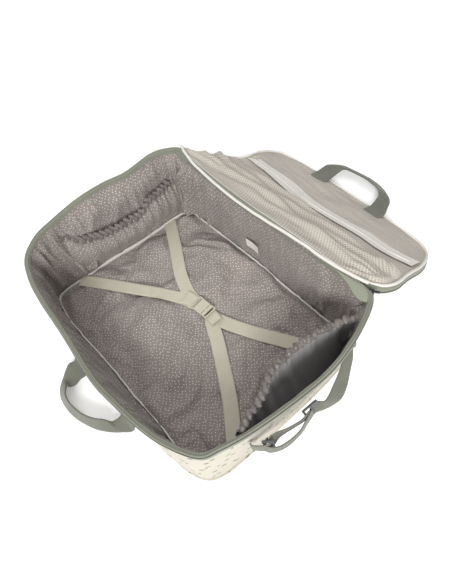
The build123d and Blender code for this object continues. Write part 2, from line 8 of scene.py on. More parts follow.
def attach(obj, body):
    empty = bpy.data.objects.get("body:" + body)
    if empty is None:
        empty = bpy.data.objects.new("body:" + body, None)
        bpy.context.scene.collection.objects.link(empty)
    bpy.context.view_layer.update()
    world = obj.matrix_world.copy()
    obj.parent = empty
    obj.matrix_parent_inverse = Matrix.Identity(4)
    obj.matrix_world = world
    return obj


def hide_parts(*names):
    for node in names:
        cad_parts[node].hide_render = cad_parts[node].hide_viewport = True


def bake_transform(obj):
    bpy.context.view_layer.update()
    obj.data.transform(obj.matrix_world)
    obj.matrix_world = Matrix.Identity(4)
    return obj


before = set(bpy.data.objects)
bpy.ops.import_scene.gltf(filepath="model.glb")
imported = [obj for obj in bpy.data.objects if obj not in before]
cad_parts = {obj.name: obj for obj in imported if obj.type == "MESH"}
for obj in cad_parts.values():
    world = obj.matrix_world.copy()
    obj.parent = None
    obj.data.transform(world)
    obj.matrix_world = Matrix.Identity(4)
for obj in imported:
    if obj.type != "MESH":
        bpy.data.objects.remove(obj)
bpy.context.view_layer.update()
rng = np.random.default_rng(11)
CAM = np.array([418.1, -148.9, 723.2])


# ------------------------------------------------------------------ small maths
def smooth(t):
    t = np.clip(t, 0, 1)
    return t * t * (3 - 2 * t)


def bump(t, c, w):
    return np.exp(-(((t - c) / w) ** 2))


def catmull(points, n, closed=False):
    """n points at even steps of the control index."""
    p = np.asarray(points, float)
    m = len(p)
    t = np.linspace(0, m, n, endpoint=False) if closed else np.linspace(0, m - 1, n)
    k = np.floor(t).astype(int)
    if not closed:
        k = np.minimum(k, m - 2)
    f = (t - k)[:, None]
    if closed:
        a, b, c, d = p[(k - 1) % m], p[k % m], p[(k + 1) % m], p[(k + 2) % m]
    else:
        b, c = p[k], p[k + 1]
        a = np.where((k > 0)[:, None], p[np.maximum(k - 1, 0)], 2 * b - c)
        d = np.where((k < m - 2)[:, None], p[np.minimum(k + 2, m - 1)], 2 * c - b)
    return 0.5 * (2 * b + (c - a) * f + (2 * a - 5 * b + 4 * c - d) * f ** 2 + (3 * b - a - 3 * c + d) * f ** 3)


def even(points, n):
    """n points evenly spaced along an open polyline."""
    p = np.asarray(points, float)
    s = np.r_[0, np.cumsum(np.linalg.norm(np.diff(p, axis=0), axis=1))]
    u = np.linspace(0, s[-1], n)
    return np.stack([np.interp(u, s, p[:, i]) for i in range(p.shape[1])], 1)


def slide(p, dz):
    """Changes heights while the picture from the main camera stays the same."""
    p = np.asarray(p, float)
    dz = np.broadcast_to(np.asarray(dz, float), p.shape[:-1])[..., None]
    return p + (CAM - p) * dz / (CAM[2] - p[..., 2:3])


def fbm(p, scale, seed=0.0):
    """Smooth noise, about -1 to 1, at each row of p (mm)."""
    q = np.asarray(p, float).reshape(-1, 3) / scale
    out = np.array([noise.noise(Vector((x + seed, y - seed * 0.7, z + 3.1 * seed))) for x, y, z in q])
    return out.reshape(np.asarray(p).shape[:-1])


# ------------------------------------------------------------------ meshes
def mesh_from(name, verts, faces, uvs, mat):
    me = bpy.data.meshes.new(name)
    me.from_pydata((np.asarray(verts).reshape(-1, 3) * 0.001).tolist(), [], faces.tolist())
    layer = me.uv_layers.new(name="cloth")
    layer.data.foreach_set("uv", (np.asarray(uvs, float).reshape(-1, 2) * 0.001).astype(np.float32).ravel())
    me.polygons.foreach_set("use_smooth", np.ones(len(me.polygons), bool))
    me.materials.append(mat)
    me.update()
    ob = bpy.data.objects.new(name, me)
    bpy.context.scene.collection.objects.link(ob)
    return ob


def grid(name, p, mat, closed_u=False, closed_v=False, uv0=(0.0, 0.0), flip=False):
    """A quad mesh through p[nu, nv, 3] in mm. Texture coordinates are lengths along the cloth."""
    p = np.asarray(p, float)
    nu, nv = p.shape[:2]
    idx = np.arange(nu * nv).reshape(nu, nv)
    pe = np.concatenate([p, p[:1]], 0) if closed_u else p
    ie = np.concatenate([idx, idx[:1]], 0) if closed_u else idx
    if closed_v:
        pe = np.concatenate([pe, pe[:, :1]], 1)
        ie = np.concatenate([ie, ie[:, :1]], 1)
    du = np.linalg.norm(np.diff(pe, axis=0), axis=2).mean(1)
    dv = np.linalg.norm(np.diff(pe, axis=1), axis=2).mean(0)
    u = uv0[0] + np.r_[0, np.cumsum(du)]
    v = uv0[1] + np.r_[0, np.cumsum(dv)]
    uu, vv = np.meshgrid(u, v, indexing="ij")
    uv = np.stack([uu, vv], -1)
    q = [ie[:-1, :-1], ie[1:, :-1], ie[1:, 1:], ie[:-1, 1:]]
    w = [uv[:-1, :-1], uv[1:, :-1], uv[1:, 1:], uv[:-1, 1:]]
    if flip:
        q, w = q[::-1], w[::-1]
    faces = np.stack(q, -1).reshape(-1, 4)
    uvs = np.stack(w, -2).reshape(-1, 2)
    return mesh_from(name, p, faces, uvs, mat)


def strip(name, e0, e1, mat, t=1.6, n=120, fine=True, caps=True):
    """Flat webbing between two edge lines, a closed band with rounded edges."""
    a, b = catmull(e0, n * 4), catmull(e1, n * 4)
    mid = (a + b) / 2
    s = np.r_[0, np.cumsum(np.linalg.norm(np.diff(mid, axis=0), axis=1))]
    u = np.linspace(0, s[-1], n)
    a = np.stack([np.interp(u, s, a[:, i]) for i in range(3)], 1)
    b = np.stack([np.interp(u, s, b[:, i]) for i in range(3)], 1)
    mid = (a + b) / 2
    tang = np.gradient(mid, axis=0)
    w = b - a
    half = np.linalg.norm(w, axis=1, keepdims=True) / 2
    wd = w / (2 * half + 1e-9)
    nn = np.cross(tang, wd)
    nn /= np.linalg.norm(nn, axis=1, keepdims=True) + 1e-9
    r = t / 2
    prof = [(-1, 0, 0), (-1, .3, .7), (-1, 1, 1)]
    across = np.linspace(-1, 1, 9)
    ring = []
    for x in across:
        ring.append((x, 1.0))
    ring.append((1.0 + 1e-3, 0.0))
    for x in across[::-1]:
        ring.append((x, -1.0))
    ring.append((-1.0 - 1e-3, 0.0))
    pts = []
    for x, z in ring:
        inset = np.maximum(half - 0.6, half * 0.5)
        edge = abs(x) > 1
        pos = mid + wd * (np.sign(x) * half if edge else x * inset) + nn * (z * r)
        pts.append(pos)
    p = np.stack(pts, 1)
    return grid(name, p, mat, closed_v=True)


def tube(name, line, mat, r=2.0, sides=12, squash=1.0, closed=False, rvar=None, up=(0, 0, 1)):
    c = np.asarray(line, float)
    t = np.gradient(c, axis=0)
    if closed:
        t = np.roll(c, -1, 0) - np.roll(c, 1, 0)
    t /= np.linalg.norm(t, axis=1, keepdims=True) + 1e-9
    side = np.cross(t, np.array(up, float))
    side /= np.linalg.norm(side, axis=1, keepdims=True) + 1e-9
    nn = np.cross(side, t)
    ang = np.linspace(0, 2 * math.pi, sides, endpoint=False)
    rr = (np.full(len(c), r) if rvar is None else np.asarray(rvar))[:, None, None]
    p = c[:, None, :] + rr * (np.cos(ang)[None, :, None] * side[:, None, :] + squash * np.sin(ang)[None, :, None] * nn[:, None, :])
    return grid(name, p, mat, closed_u=closed, closed_v=True)


def box(name, centre, x_dir, y_dir, size, mat, bevel=0.6):
    """A bevelled block, in mm."""
    x = np.array(x_dir, float); x /= np.linalg.norm(x)
    y = np.array(y_dir, float); y -= x * (x @ y); y /= np.linalg.norm(y)
    z = np.cross(x, y)
    v = [np.array(centre) + x * sx * size[0] / 2 + y * sy * size[1] / 2 + z * sz * size[2] / 2
         for sx in (-1, 1) for sy in (-1, 1) for sz in (-1, 1)]
    f = np.array([[0, 1, 3, 2], [4, 6, 7, 5], [0, 4, 5, 1], [2, 3, 7, 6], [0, 2, 6, 4], [1, 5, 7, 3]])
    uvs = np.zeros((24, 2))
    ob = mesh_from(name, np.array(v), f, uvs, mat)
    ob.data.polygons.foreach_set("use_smooth", np.zeros(6, bool))
    if bevel:
        m = ob.modifiers.new("bevel", "BEVEL"); m.width = bevel * 0.001; m.segments = 3
    return ob


def join(name, obs):
    for o in bpy.context.selected_objects:
        o.select_set(False)
    for o in obs:
        bpy.context.view_layer.objects.active = o
        for m in list(o.modifiers):
            bpy.ops.object.modifier_apply(modifier=m.name)
    for o in obs:
        o.select_set(True)
    bpy.context.view_layer.objects.active = obs[0]
    if len(obs) > 1:
        bpy.ops.object.join()
    obs[0].name = name
    obs[0].data.name = name
    obs[0].select_set(False)
    return obs[0]


# ------------------------------------------------------------------ materials
def new_mat(name, color, rough=0.8, sheen=0.0):
    m = bpy.data.materials.new(name)
    m.use_nodes = True
    b = m.node_tree.nodes["Principled BSDF"]
    b.inputs["Base Color"].default_value = (*color, 1)
    b.inputs["Roughness"].default_value = rough
    if sheen:
        b.inputs["Sheen Weight"].default_value = sheen
        b.inputs["Sheen Roughness"].default_value = 0.5
    return m, m.node_tree, b


def uv_node(nt):
    n = nt.nodes.new("ShaderNodeUVMap")
    n.uv_map = "cloth"
    return n.outputs[0]


def mapping(nt, vec, scale=(1, 1, 1), rot=0.0, loc=(0, 0, 0)):
    n = nt.nodes.new("ShaderNodeMapping")
    nt.links.new(vec, n.inputs["Vector"])
    n.inputs["Scale"].default_value = scale
    n.inputs["Rotation"].default_value = (0, 0, rot)
    n.inputs["Location"].default_value = loc
    return n.outputs[0]


def voronoi(nt, vec, randomness, scale=1.0):
    n = nt.nodes.new("ShaderNodeTexVoronoi")
    n.voronoi_dimensions = "2D"
    n.inputs["Scale"].default_value = scale
    n.inputs["Randomness"].default_value = randomness
    nt.links.new(vec, n.inputs["Vector"])
    return n.outputs["Distance"]


def ramp(nt, fac, lo, hi, a=(1, 1, 1), b=(0, 0, 0)):
    n = nt.nodes.new("ShaderNodeValToRGB")
    n.color_ramp.elements[0].position = lo
    n.color_ramp.elements[0].color = (*a, 1)
    n.color_ramp.elements[1].position = hi
    n.color_ramp.elements[1].color = (*b, 1)
    nt.links.new(fac, n.inputs[0])
    return n.outputs[0]


def mix(nt, fac, a, b):
    n = nt.nodes.new("ShaderNodeMix")
    n.data_type = "RGBA"
    nt.links.new(fac, n.inputs[0])
    for k, v in ((6, a), (7, b)):
        if isinstance(v, tuple):
            n.inputs[k].default_value = (*v, 1)
        else:
            nt.links.new(v, n.inputs[k])
    return n.outputs[2]


def weave(nt, bsdf, pitch=0.0007, strength=0.25, distance=0.0003, extra=None):
    """Plain-weave bump from two crossed waves on the cloth's own coordinates."""
    uv = uv_node(nt)
    outs = []
    for direction in ("X", "Y"):
        w = nt.nodes.new("ShaderNodeTexWave")
        w.bands_direction = direction
        w.inputs["Scale"].default_value = 1.0 / pitch / 6.2832 * 3.1416
        w.inputs["Distortion"].default_value = 0.0
        nt.links.new(uv, w.inputs["Vector"])
        outs.append(w.outputs["Fac"])
    m = nt.nodes.new("ShaderNodeMath"); m.operation = "MULTIPLY"
    nt.links.new(outs[0], m.inputs[0]); nt.links.new(outs[1], m.inputs[1])
    n = nt.nodes.new("ShaderNodeTexNoise")
    n.inputs["Scale"].default_value = 60.0
    n.inputs["Detail"].default_value = 4.0
    nt.links.new(uv, n.inputs["Vector"])
    a = nt.nodes.new("ShaderNodeMath"); a.operation = "ADD"
    nt.links.new(m.outputs[0], a.inputs[0]); nt.links.new(n.outputs["Fac"], a.inputs[1])
    b = nt.nodes.new("ShaderNodeBump")
    b.inputs["Strength"].default_value = strength
    b.inputs["Distance"].default_value = distance
    nt.links.new(a.outputs[0], b.inputs["Height"])
    nt.links.new(b.outputs[0], bsdf.inputs["Normal"])
    return uv


def mottled(nt, uv, a, b, scale=9.0):
    n = nt.nodes.new("ShaderNodeTexNoise")
    n.inputs["Scale"].default_value = scale
    n.inputs["Detail"].default_value = 5.0
    nt.links.new(uv, n.inputs["Vector"])
    f = ramp(nt, n.outputs["Fac"], 0.35, 0.65, (0, 0, 0), (1, 1, 1))
    return mix(nt, f, a, b)


def dotted_mat(name, base, base2, dot, pitch=0.0056, r=0.15):
    m, nt, b = new_mat(name, base, 0.85, 0.15)
    uv = weave(nt, b, 0.0006, 0.2, 0.0002)
    ground = mottled(nt, uv, base, base2, 14.0)
    d = voronoi(nt, mapping(nt, uv, (1 / pitch, 1 / pitch, 1), 0.72), 0.55)
    mask = ramp(nt, d, r * 0.8, r * 1.25)
    nt.links.new(mix(nt, mask, ground, dot), b.inputs["Base Color"])
    return m


LINING = dotted_mat("dotted_lining", (0.222, 0.195, 0.177), (0.262, 0.229, 0.209), (0.64, 0.59, 0.54))
# darker copy of the dotted lining for the pockets' rolled edges: its dark ground and dim dots are painted shade of the
# gathered lumps
HEM_PAINTED_SHADE = dotted_mat("dotted_hem_painted_shade", (0.12, 0.105, 0.097), (0.19, 0.166, 0.152), (0.36, 0.325, 0.295), r=0.11)

WRONG, nt, b = new_mat("pocket_wrong_side", (0.17, 0.155, 0.16), 0.55, 0.4)
uv = weave(nt, b, 0.0006, 0.2, 0.0002)
nt.links.new(mottled(nt, uv, (0.23, 0.213, 0.218), (0.30, 0.283, 0.29), 10.0), b.inputs["Base Color"])

CANVAS, nt, b = new_mat("printed_canvas", (0.70, 0.655, 0.56), 0.85, 0.1)
uv = weave(nt, b, 0.0009, 0.35, 0.0003)
ground = mottled(nt, uv, (0.50, 0.468, 0.395), (0.46, 0.43, 0.362), 8.0)
leaf = voronoi(nt, mapping(nt, uv, (1 / 0.031, 1 / 0.022, 1), 0.5), 0.75)
leaf2 = voronoi(nt, mapping(nt, uv, (1 / 0.026, 1 / 0.044, 1), -0.45, (0.37, 0.11, 0)), 0.6)
marks = mix(nt, ramp(nt, leaf2, 0.075, 0.105), mix(nt, ramp(nt, leaf, 0.11, 0.145), ground, (0.215, 0.215, 0.14)), (0.26, 0.25, 0.17))
nt.links.new(marks, b.inputs["Base Color"])

SAGE, nt, b = new_mat("sage_band", (0.225, 0.235, 0.175), 0.8, 0.2)
uv = weave(nt, b, 0.0008, 0.35, 0.0003)
nt.links.new(mottled(nt, uv, (0.170, 0.176, 0.135), (0.203, 0.210, 0.164), 12.0), b.inputs["Base Color"])

FACING, nt, b = new_mat("sage_facing", (0.235, 0.247, 0.188), 0.8, 0.2)
uv = weave(nt, b, 0.0008, 0.3, 0.0003)

WEB, nt, b = new_mat("sage_webbing", (0.15, 0.15, 0.118), 0.75, 0.2)
uv = uv_node(nt)
w = nt.nodes.new("ShaderNodeTexWave"); w.bands_direction = "DIAGONAL"; w.inputs["Scale"].default_value = 330.0
nt.links.new(uv, w.inputs["Vector"])
bp = nt.nodes.new("ShaderNodeBump"); bp.inputs["Strength"].default_value = 0.5; bp.inputs["Distance"].default_value = 0.0004
nt.links.new(w.outputs["Fac"], bp.inputs["Height"]); nt.links.new(bp.outputs[0], b.inputs["Normal"])
nt.links.new(mottled(nt, uv, (0.108, 0.110, 0.086), (0.135, 0.137, 0.106), 20.0), b.inputs["Base Color"])

CREAM_WEB, nt, b = new_mat("cream_webbing", (0.52, 0.485, 0.385), 0.7, 0.2)
uv = uv_node(nt)
w = nt.nodes.new("ShaderNodeTexWave"); w.bands_direction = "Y"; w.inputs["Scale"].default_value = 160.0
nt.links.new(uv, w.inputs["Vector"])
bp = nt.nodes.new("ShaderNodeBump"); bp.inputs["Strength"].default_value = 0.4; bp.inputs["Distance"].default_value = 0.0003
nt.links.new(w.outputs["Fac"], bp.inputs["Height"]); nt.links.new(bp.outputs[0], b.inputs["Normal"])
nt.links.new(mottled(nt, uv, (0.45, 0.42, 0.335), (0.50, 0.468, 0.378), 25.0), b.inputs["Base Color"])

BIND, nt, b = new_mat("cream_binding", (0.68, 0.655, 0.61), 0.75, 0.1)
uv = weave(nt, b, 0.0008, 0.3, 0.0003)

MESH, nt, b = new_mat("beige_mesh", (0.55, 0.49, 0.41), 0.75, 0.1)
uv = uv_node(nt)
ground = mottled(nt, uv, (0.52, 0.48, 0.42), (0.46, 0.423, 0.37), 6.0)
hole = voronoi(nt, mapping(nt, uv, (1 / 0.0034, 1 / 0.0042, 1), 0.785), 0.0)
hm = ramp(nt, hole, 0.26, 0.36)
nt.links.new(mix(nt, hm, ground, (0.32, 0.285, 0.24)), b.inputs["Base Color"])
bp = nt.nodes.new("ShaderNodeBump"); bp.inputs["Strength"].default_value = 0.6; bp.inputs["Distance"].default_value = 0.0006
inv = nt.nodes.new("ShaderNodeMath"); inv.operation = "SUBTRACT"; inv.inputs[0].default_value = 1.0
nt.links.new(hm, inv.inputs[1]); nt.links.new(inv.outputs[0], bp.inputs["Height"]); nt.links.new(bp.outputs[0], b.inputs["Normal"])

COIL, nt, b = new_mat("zip_coil", (0.10, 0.105, 0.085), 0.4)
CREAM_COIL, nt, b = new_mat("cream_coil", (0.72, 0.69, 0.62), 0.45)
METAL, nt, b = new_mat("zip_metal", (0.05, 0.05, 0.055), 0.35)
b.inputs["Metallic"].default_value = 0.8
DARK, nt, b = new_mat("dark_plastic", (0.060, 0.060, 0.065), 0.35)
CREAM_PLASTIC, nt, b = new_mat("cream_plastic", (0.47, 0.44, 0.35), 0.45)
LABEL, nt, b = new_mat("label", (0.70, 0.64, 0.60), 0.6)
STITCH, nt, b = new_mat("stitching", (0.42, 0.41, 0.33), 0.7)
FOAM, nt, b = new_mat("foam", (0.5, 0.5, 0.48), 0.9)
BOARD, nt, b = new_mat("board", (0.3, 0.28, 0.25), 0.9)

# ------------------------------------------------------------------ plan outlines of the bag, mm
RIM = np.array([(-220, -162), (-249, -127), (-259, -90), (-268, -32), (-266, 23), (-255, 73), (-258, 133), (-243, 165),
                (-220, 181), (-175, 174), (-124, 168), (-17, 165), (71, 170), (149, 174), (212, 178), (237, 167),
                (257, 120), (268, 69), (270, 31), (266, -27), (259, -79), (249, -120), (238, -147), (199, -169),
                (159, -181), (101, -190), (52, -194), (-46, -188), (-120, -185), (-175, -178)], float)
SEAM = np.array([(-226, -163), (-235, -138), (-232, -93), (-231, -34), (-224, 26), (-222, 75), (-220, 125), (-214, 150),
                 (-203, 159), (-160, 161), (-115, 162), (-15, 165), (65, 163), (135, 163), (192, 163), (214, 155),
                 (230, 120), (235, 65), (236, 30), (236, -30), (235, -80), (232, -125), (220, -150), (185, -163),
                 (150, -164), (105, -163), (50, -166), (-45, -168), (-130, -173), (-186, -172)], float)
NS = 720
TT = np.linspace(0, 30, NS * 4, endpoint=False)
_r, _b = catmull(RIM, NS * 4, True), catmull(SEAM, NS * 4, True)
_m = (_r + _b) / 2
_s = np.r_[0, np.cumsum(np.linalg.norm(np.roll(_m, -1, 0) - _m, axis=1))]
_u = np.linspace(0, _s[-1], NS, endpoint=False)
T = np.interp(_u, _s, np.r_[TT, 30.0])                      # control index of each column
PER = _s[-1]
def _re(q):
    q = np.concatenate([q, q[:1]])
    return np.stack([np.interp(_u, _s, q[:, i]) for i in range(2)], 1)
R2, B2 = _re(_r), _re(_b)
_t = np.roll(_re(_m), -1, 0) - np.roll(_re(_m), 1, 0)
_t /= np.linalg.norm(_t, axis=1, keepdims=True)
OUT = np.stack([-_t[:, 1], _t[:, 0]], 1)                     # the outline runs clockwise seen from above
if (OUT * _re(_m)).sum(1).mean() < 0:
    OUT = -OUT
S_MM = _u
def tper(c, w):
    """Bump in the control index, periodic."""
    d = np.abs((T - c + 15) % 30 - 15)
    return np.exp(-((d / w) ** 2))
RIGHT = smooth((T - 14.5) / 2) * smooth((23.0 - T) / 2)
LEFTS = smooth((T - 0.2) / 1.5) * smooth((8.2 - T) / 1.2)
BACKS = smooth((T - 8.2) / 0.8) * smooth((14.6 - T) / 0.8)
FRONTS = 1 - np.clip(RIGHT + LEFTS + BACKS, 0, 1)
# the open rim isn't level: heights follow the cloth, with the picture kept
RIMZ = 150 - 3.0 * tper(27, 3.0) - 4.0 * tper(4.5, 2.2) + 2.0 * tper(8.0, 1.0) + 1.5 * tper(22.8, 1.2) - 3.0 * tper(18.5, 2.0)
RIMZ = RIMZ + 1.2 * np.array([noise.noise(Vector((x * 0.012, 5.2, 0))) for x in S_MM])
RIM3 = slide(np.c_[R2, np.full(NS, 150.0)], RIMZ - 150)
POW = 1.25 + 0.75 * RIGHT + 0.25 * FRONTS
ADD_OUT = 7.0 + 3.0 * tper(23.2, 2.0)


def wall(h, inward):
    """Point on the bag's wall. h runs 0 at the base seam to 1 at the rim; inward is measured
    from the outer canvas."""
    h = np.asarray(h, float)[None, :]
    base = B2 + OUT * ADD_OUT[:, None]
    f = h ** POW[:, None]
    xy = base[:, None, :] + (RIM3[:, None, :2] - base[:, None, :]) * f[..., None]
    z = RIM3[:, None, 2] * h
    bulge = 3.5 * np.sin(math.pi * np.clip(h, 0, 1)) ** 1.0 * (0.5 + 0.5 * np.ones(NS)[:, None])
    xy = xy + OUT[:, None, :] * (bulge - np.asarray(inward))[..., None]
    return np.concatenate([xy, z[..., None] * np.ones(xy.shape[:2] + (1,))], -1)


def relax(p, pins, grow, frames, closed_u=False, bending=0.3, gravity=1.0, floor=None):
    """Lets a cloth grid settle with its pinned points held. The cloth is cut a little large, so it puckers."""
    nu, nv = p.shape[:2]
    idx = np.arange(nu * nv).reshape(nu, nv)
    ie = np.concatenate([idx, idx[:1]], 0) if closed_u else idx
    f = np.stack([ie[:-1, :-1], ie[1:, :-1], ie[1:, 1:], ie[:-1, 1:]], -1).reshape(-1, 4)
    me = bpy.data.meshes.new("settling")
    me.from_pydata((p.reshape(-1, 3) * 0.001).tolist(), [], f.tolist())
    ob = bpy.data.objects.new("settling", me)
    bpy.context.scene.collection.objects.link(ob)
    vg = ob.vertex_groups.new(name="pins")
    vg.add([int(i) for i in np.nonzero(pins.reshape(-1))[0]], 1.0, "REPLACE")
    c = ob.modifiers.new("cloth", "CLOTH")
    st = c.settings
    st.quality = 5
    st.mass = 0.12
    st.tension_stiffness = st.compression_stiffness = 25
    st.shear_stiffness = 6
    st.bending_stiffness = bending
    st.tension_damping = st.compression_damping = 20
    st.air_damping = 4
    st.vertex_group_mass = "pins"
    st.shrink_min = -grow
    st.effector_weights.gravity = gravity
    c.collision_settings.use_collision = floor is not None
    c.collision_settings.distance_min = 0.001
    c.point_cache.frame_start, c.point_cache.frame_end = 1, frames
    extra = None
    if floor is not None:
        bpy.ops.mesh.primitive_plane_add(size=1.2, location=(0, 0, floor * 0.001))
        extra = bpy.context.object
        extra.modifiers.new("hit", "COLLISION")
        extra.collision.thickness_outer = 0.001
    scn = bpy.context.scene
    for k in range(1, frames + 1):
        scn.frame_set(k)
    ev = ob.evaluated_get(bpy.context.evaluated_depsgraph_get())
    out = np.empty(nu * nv * 3, np.float32)
    ev.data.vertices.foreach_get("co", out)
    bpy.data.objects.remove(ob, do_unlink=True)
    if extra is not None:
        bpy.data.objects.remove(extra, do_unlink=True)
    scn.frame_set(1)
    return out.reshape(nu, nv, 3).astype(float) * 1000


# ------------------------------------------------------------------ outer shell
def coons(outline, nu, nv, corners):
    """Quad grid inside a closed outline, with its four corners at the given indices."""
    n = len(outline)
    def seg(a, b, m):
        k = np.arange(a, b + (n if b < a else 0) + 1) % n
        return even(outline[k], m)
    c0, c1, c2, c3 = corners                   # front left, back left, back right, front right
    left = seg(c0, c1, nv)
    back = seg(c1, c2, nu)
    right = seg(c2, c3, nv)[::-1]
    front = seg(c3, c0, nu)[::-1]
    u = np.linspace(0, 1, nu)[:, None, None]
    v = np.linspace(0, 1, nv)[None, :, None]
    return ((1 - v) * front[:, None] + v * back[:, None] + (1 - u) * left[None] + u * right[None]
            - (1 - u) * (1 - v) * front[0] - u * (1 - v) * front[-1] - (1 - u) * v * back[0] - u * v * back[-1])


CORN = [int(np.argmin(np.abs(T - c))) for c in (0.35, 7.9, 14.85, 22.3)]
h_out = np.r_[0.0, 0.004, 0.015, 0.035, 0.06, np.linspace(0.09, 0.965, 46)]
inw = np.zeros((NS, len(h_out)))
zz = h_out * 150
inw += 5.0 * np.clip(1 - zz / 9.0, 0, 1)[None, :] ** 2
pw = wall(h_out, inw)
ripple = fbm(pw, 46.0, 2.0) * 2.2 + fbm(pw, 19.0, 7.0) * 0.7
soft = np.sin(math.pi * np.clip(h_out, 0, 1))[None, :]
pw[..., :2] += OUT[:, None, :] * (ripple * soft)[..., None]
pw[..., 2] = np.maximum(pw[..., 2], 0.6)
canvas = grid("canvas_walls", pw, CANVAS, closed_u=True)
bot = pw[:, 0, :2]
cb = coons(bot, 70, 50, CORN)
pb = np.concatenate([cb, np.full(cb.shape[:2] + (1,), 0.5)], -1)
canvas_base = grid("canvas_base", pb, CANVAS, flip=True)
# lower piping round the base of the canvas
low = wall(np.array([0.03]), np.full((NS, 1), 0.2))[:, 0]
low[:, 2] = 3.6 + 0.5 * np.array([noise.noise(Vector((x * 0.03, 1.2, 4))) for x in S_MM])
base_pipe = tube("canvas_base_piping", low[::2], CANVAS, r=2.0, sides=8, closed=True)

# ------------------------------------------------------------------ rim band
def inner_line(z_drop, inward):
    """A line running round inside the rim."""
    p = RIM3.copy()
    p[:, 2] -= np.broadcast_to(z_drop, NS)
    p[:, :2] -= OUT * np.broadcast_to(inward, NS)[:, None]
    return p


flopF = 1 - BACKS
wob = np.array([noise.noise(Vector((x * 0.02, 9.0, 2))) for x in S_MM])
DEPTH = 2.5 * LEFTS + 1.5 * FRONTS + 1.5 * RIGHT + 24.0 * tper(14.55, 0.5) + 20.0 * tper(8.2, 0.45)
FL = 1 - 0.80 * BACKS - 0.28 * FRONTS - 0.22 * LEFTS - 0.45 * RIGHT
DROP = 1 - 0.75 * BACKS
prof = [(-1.0, 14.0), (-1.6, 9.0), (-1.4, 4.0), (-0.2, 0.8), (2.0, 0.0), (4.0, 0.3), (6.6, 1.4), (8.4, 3.4)]
rows = []
for a, d in prof:
    rows.append(inner_line(d * (DROP if a > 0 else 1.0), a * np.where(a > 0, FL, 1)))
last = 8.4 * FL
for k in range(1, 9):
    f = k / 8
    rows.append(inner_line(3.4 * DROP + DEPTH * f, last + 1.2 * f * FL + 0.25 * DEPTH * f * (LEFTS * 0.9 + 0.25)))
band = np.stack(rows, 1)
wr = fbm(band, 22.0, 3.0) * 0.7
band[..., :2] -= OUT[:, None, :] * wr[..., None] * (np.arange(band.shape[1]) > 3)[None, :, None]
rim_band = grid("rim_band_cloth", band, SAGE, closed_u=True)
BAND_END = band[:, -1].copy()
rim_band.data.materials.append(FACING)
mi = np.zeros((NS, band.shape[1] - 1), int)
mi[((T > 13.7) & (T < 15.3)) | ((T > 7.6) & (T < 9.2)), 7:] = 1
rim_band.data.materials.append(LINING)
mi[(T > 9.2) & (T < 13.7), 3:] = 2
rim_band.data.polygons.foreach_set("material_index", mi.ravel())

# folded facing laid flat in the corner beside the hinge
fa = even(catmull([(168, 172.3, 149.4), (200, 175, 149.6), (221, 176.5, 149.6), (232, 173.5, 149.6), (239, 167.5, 149.4)], 60), 24)
fb_ = even(catmull([(168, 171.3, 149.0), (193, 166.0, 147.5), (212, 159.5, 146.0), (225, 157.5, 145.5), (238, 163, 146.5)], 60), 24)
facing = grid("rim_corner_facing", np.stack([fa * (1 - k) + fb_ * k + np.array([0, 0, 1.2]) * math.sin(math.pi * k) for k in np.linspace(0, 1, 8)], 1), FACING)

# zip tape and coil round the rim, from one end of the hinge to the other
ring_i = [i for i in range(NS) if not (9.0 < T[i] < 14.45)]
start = int(np.argmin(np.abs(T - 14.45)))
order = [(start + k) % NS for k in range(NS) if not (8.85 < T[(start + k) % NS] < 14.4)]
zl = inner_line(2.6, -1.6)[order]
coil_n = len(zl)
zip_coil = tube("main_zip_coil", even(zl, 1500), COIL, r=1.0, sides=6, rvar=0.6 + 0.3 * (np.arange(1500) % 2))
zip_edge = tube("main_zip_tape_edge", even(inner_line(0.6, 0.4)[order], 700), SAGE, r=1.5, sides=8)

# ------------------------------------------------------------------ lining
folds = [(6.4, 13, .20, .9), (7.05, 18, .26, .6), (7.6, 12, .18, -.6), (2.75, 9, .22, 1.2), (3.7, 7, .28, 1.4), (4.8, 8, .26, -1.1), (8.15, 17, .24, .1), (8.6, 13, .18, .6), (9.1, 10, .22, .7),
         (9.8, 7, .3, .7), (3.1, 8, .5, .8), (4.3, 7, .45, -.6), (5.1, 9, .4, .5), (10.6, 5, .3, .9), (13.3, 5, .3, -.8), (5.7, 4, .3, .2), (2.2, 6, .14, .9), (2.5, 5, .12, .5), (1.8, 6, .14, -.6), (1.3, 5, .2, -.9), (0.6, 6, .25, -.2),
         (14.3, 5, .25, -.2), (14.9, 8, .25, -.3), (15.4, 5, .2, .2), (16.2, 3, .25, 0), (22.3, 5, .3, 0), (23.2, 4, .3, .3),
         (24.6, 3.5, .3, .4), (26.2, 3, .35, -.3), (28.0, 3.5, .35, .4), (29.3, 4, .25, .2), (11.0, 2.5, .5, .5), (12.6, 2.5, .5, -.4)]
for k in range(46):
    folds.append((rng.uniform(0, 30), rng.uniform(0.8, 2.4), rng.uniform(0.06, 0.16), rng.uniform(-0.8, 0.8)))
h_in = np.r_[0.018, 0.03, 0.05, np.linspace(0.075, 1.0, 58)]


def lining_fold(h):
    d = np.zeros((NS, len(h)))
    for c, a, w, tilt in folds:
        x = np.abs((T[:, None] - c - tilt * (h[None, :] - 0.55) + 15) % 30 - 15)
        d += a * np.exp(-((x / w) ** 1.35))
    return d


hh = h_in[None, :]
env = smooth(hh / 0.22) * (1 - 0.55 * smooth((hh - 0.8) / 0.2))
off = 4.5 + 0.35 * lining_fold(h_in) * env
li = wall(h_in * 0.93, off)
n1 = fbm(li, 55.0, 5.0) * 7.0 + fbm(li, 26.0, 9.0) * 3.0
li[..., :2] -= OUT[:, None, :] * (np.maximum(n1 + 2.0, -2.0) * env)[..., None]
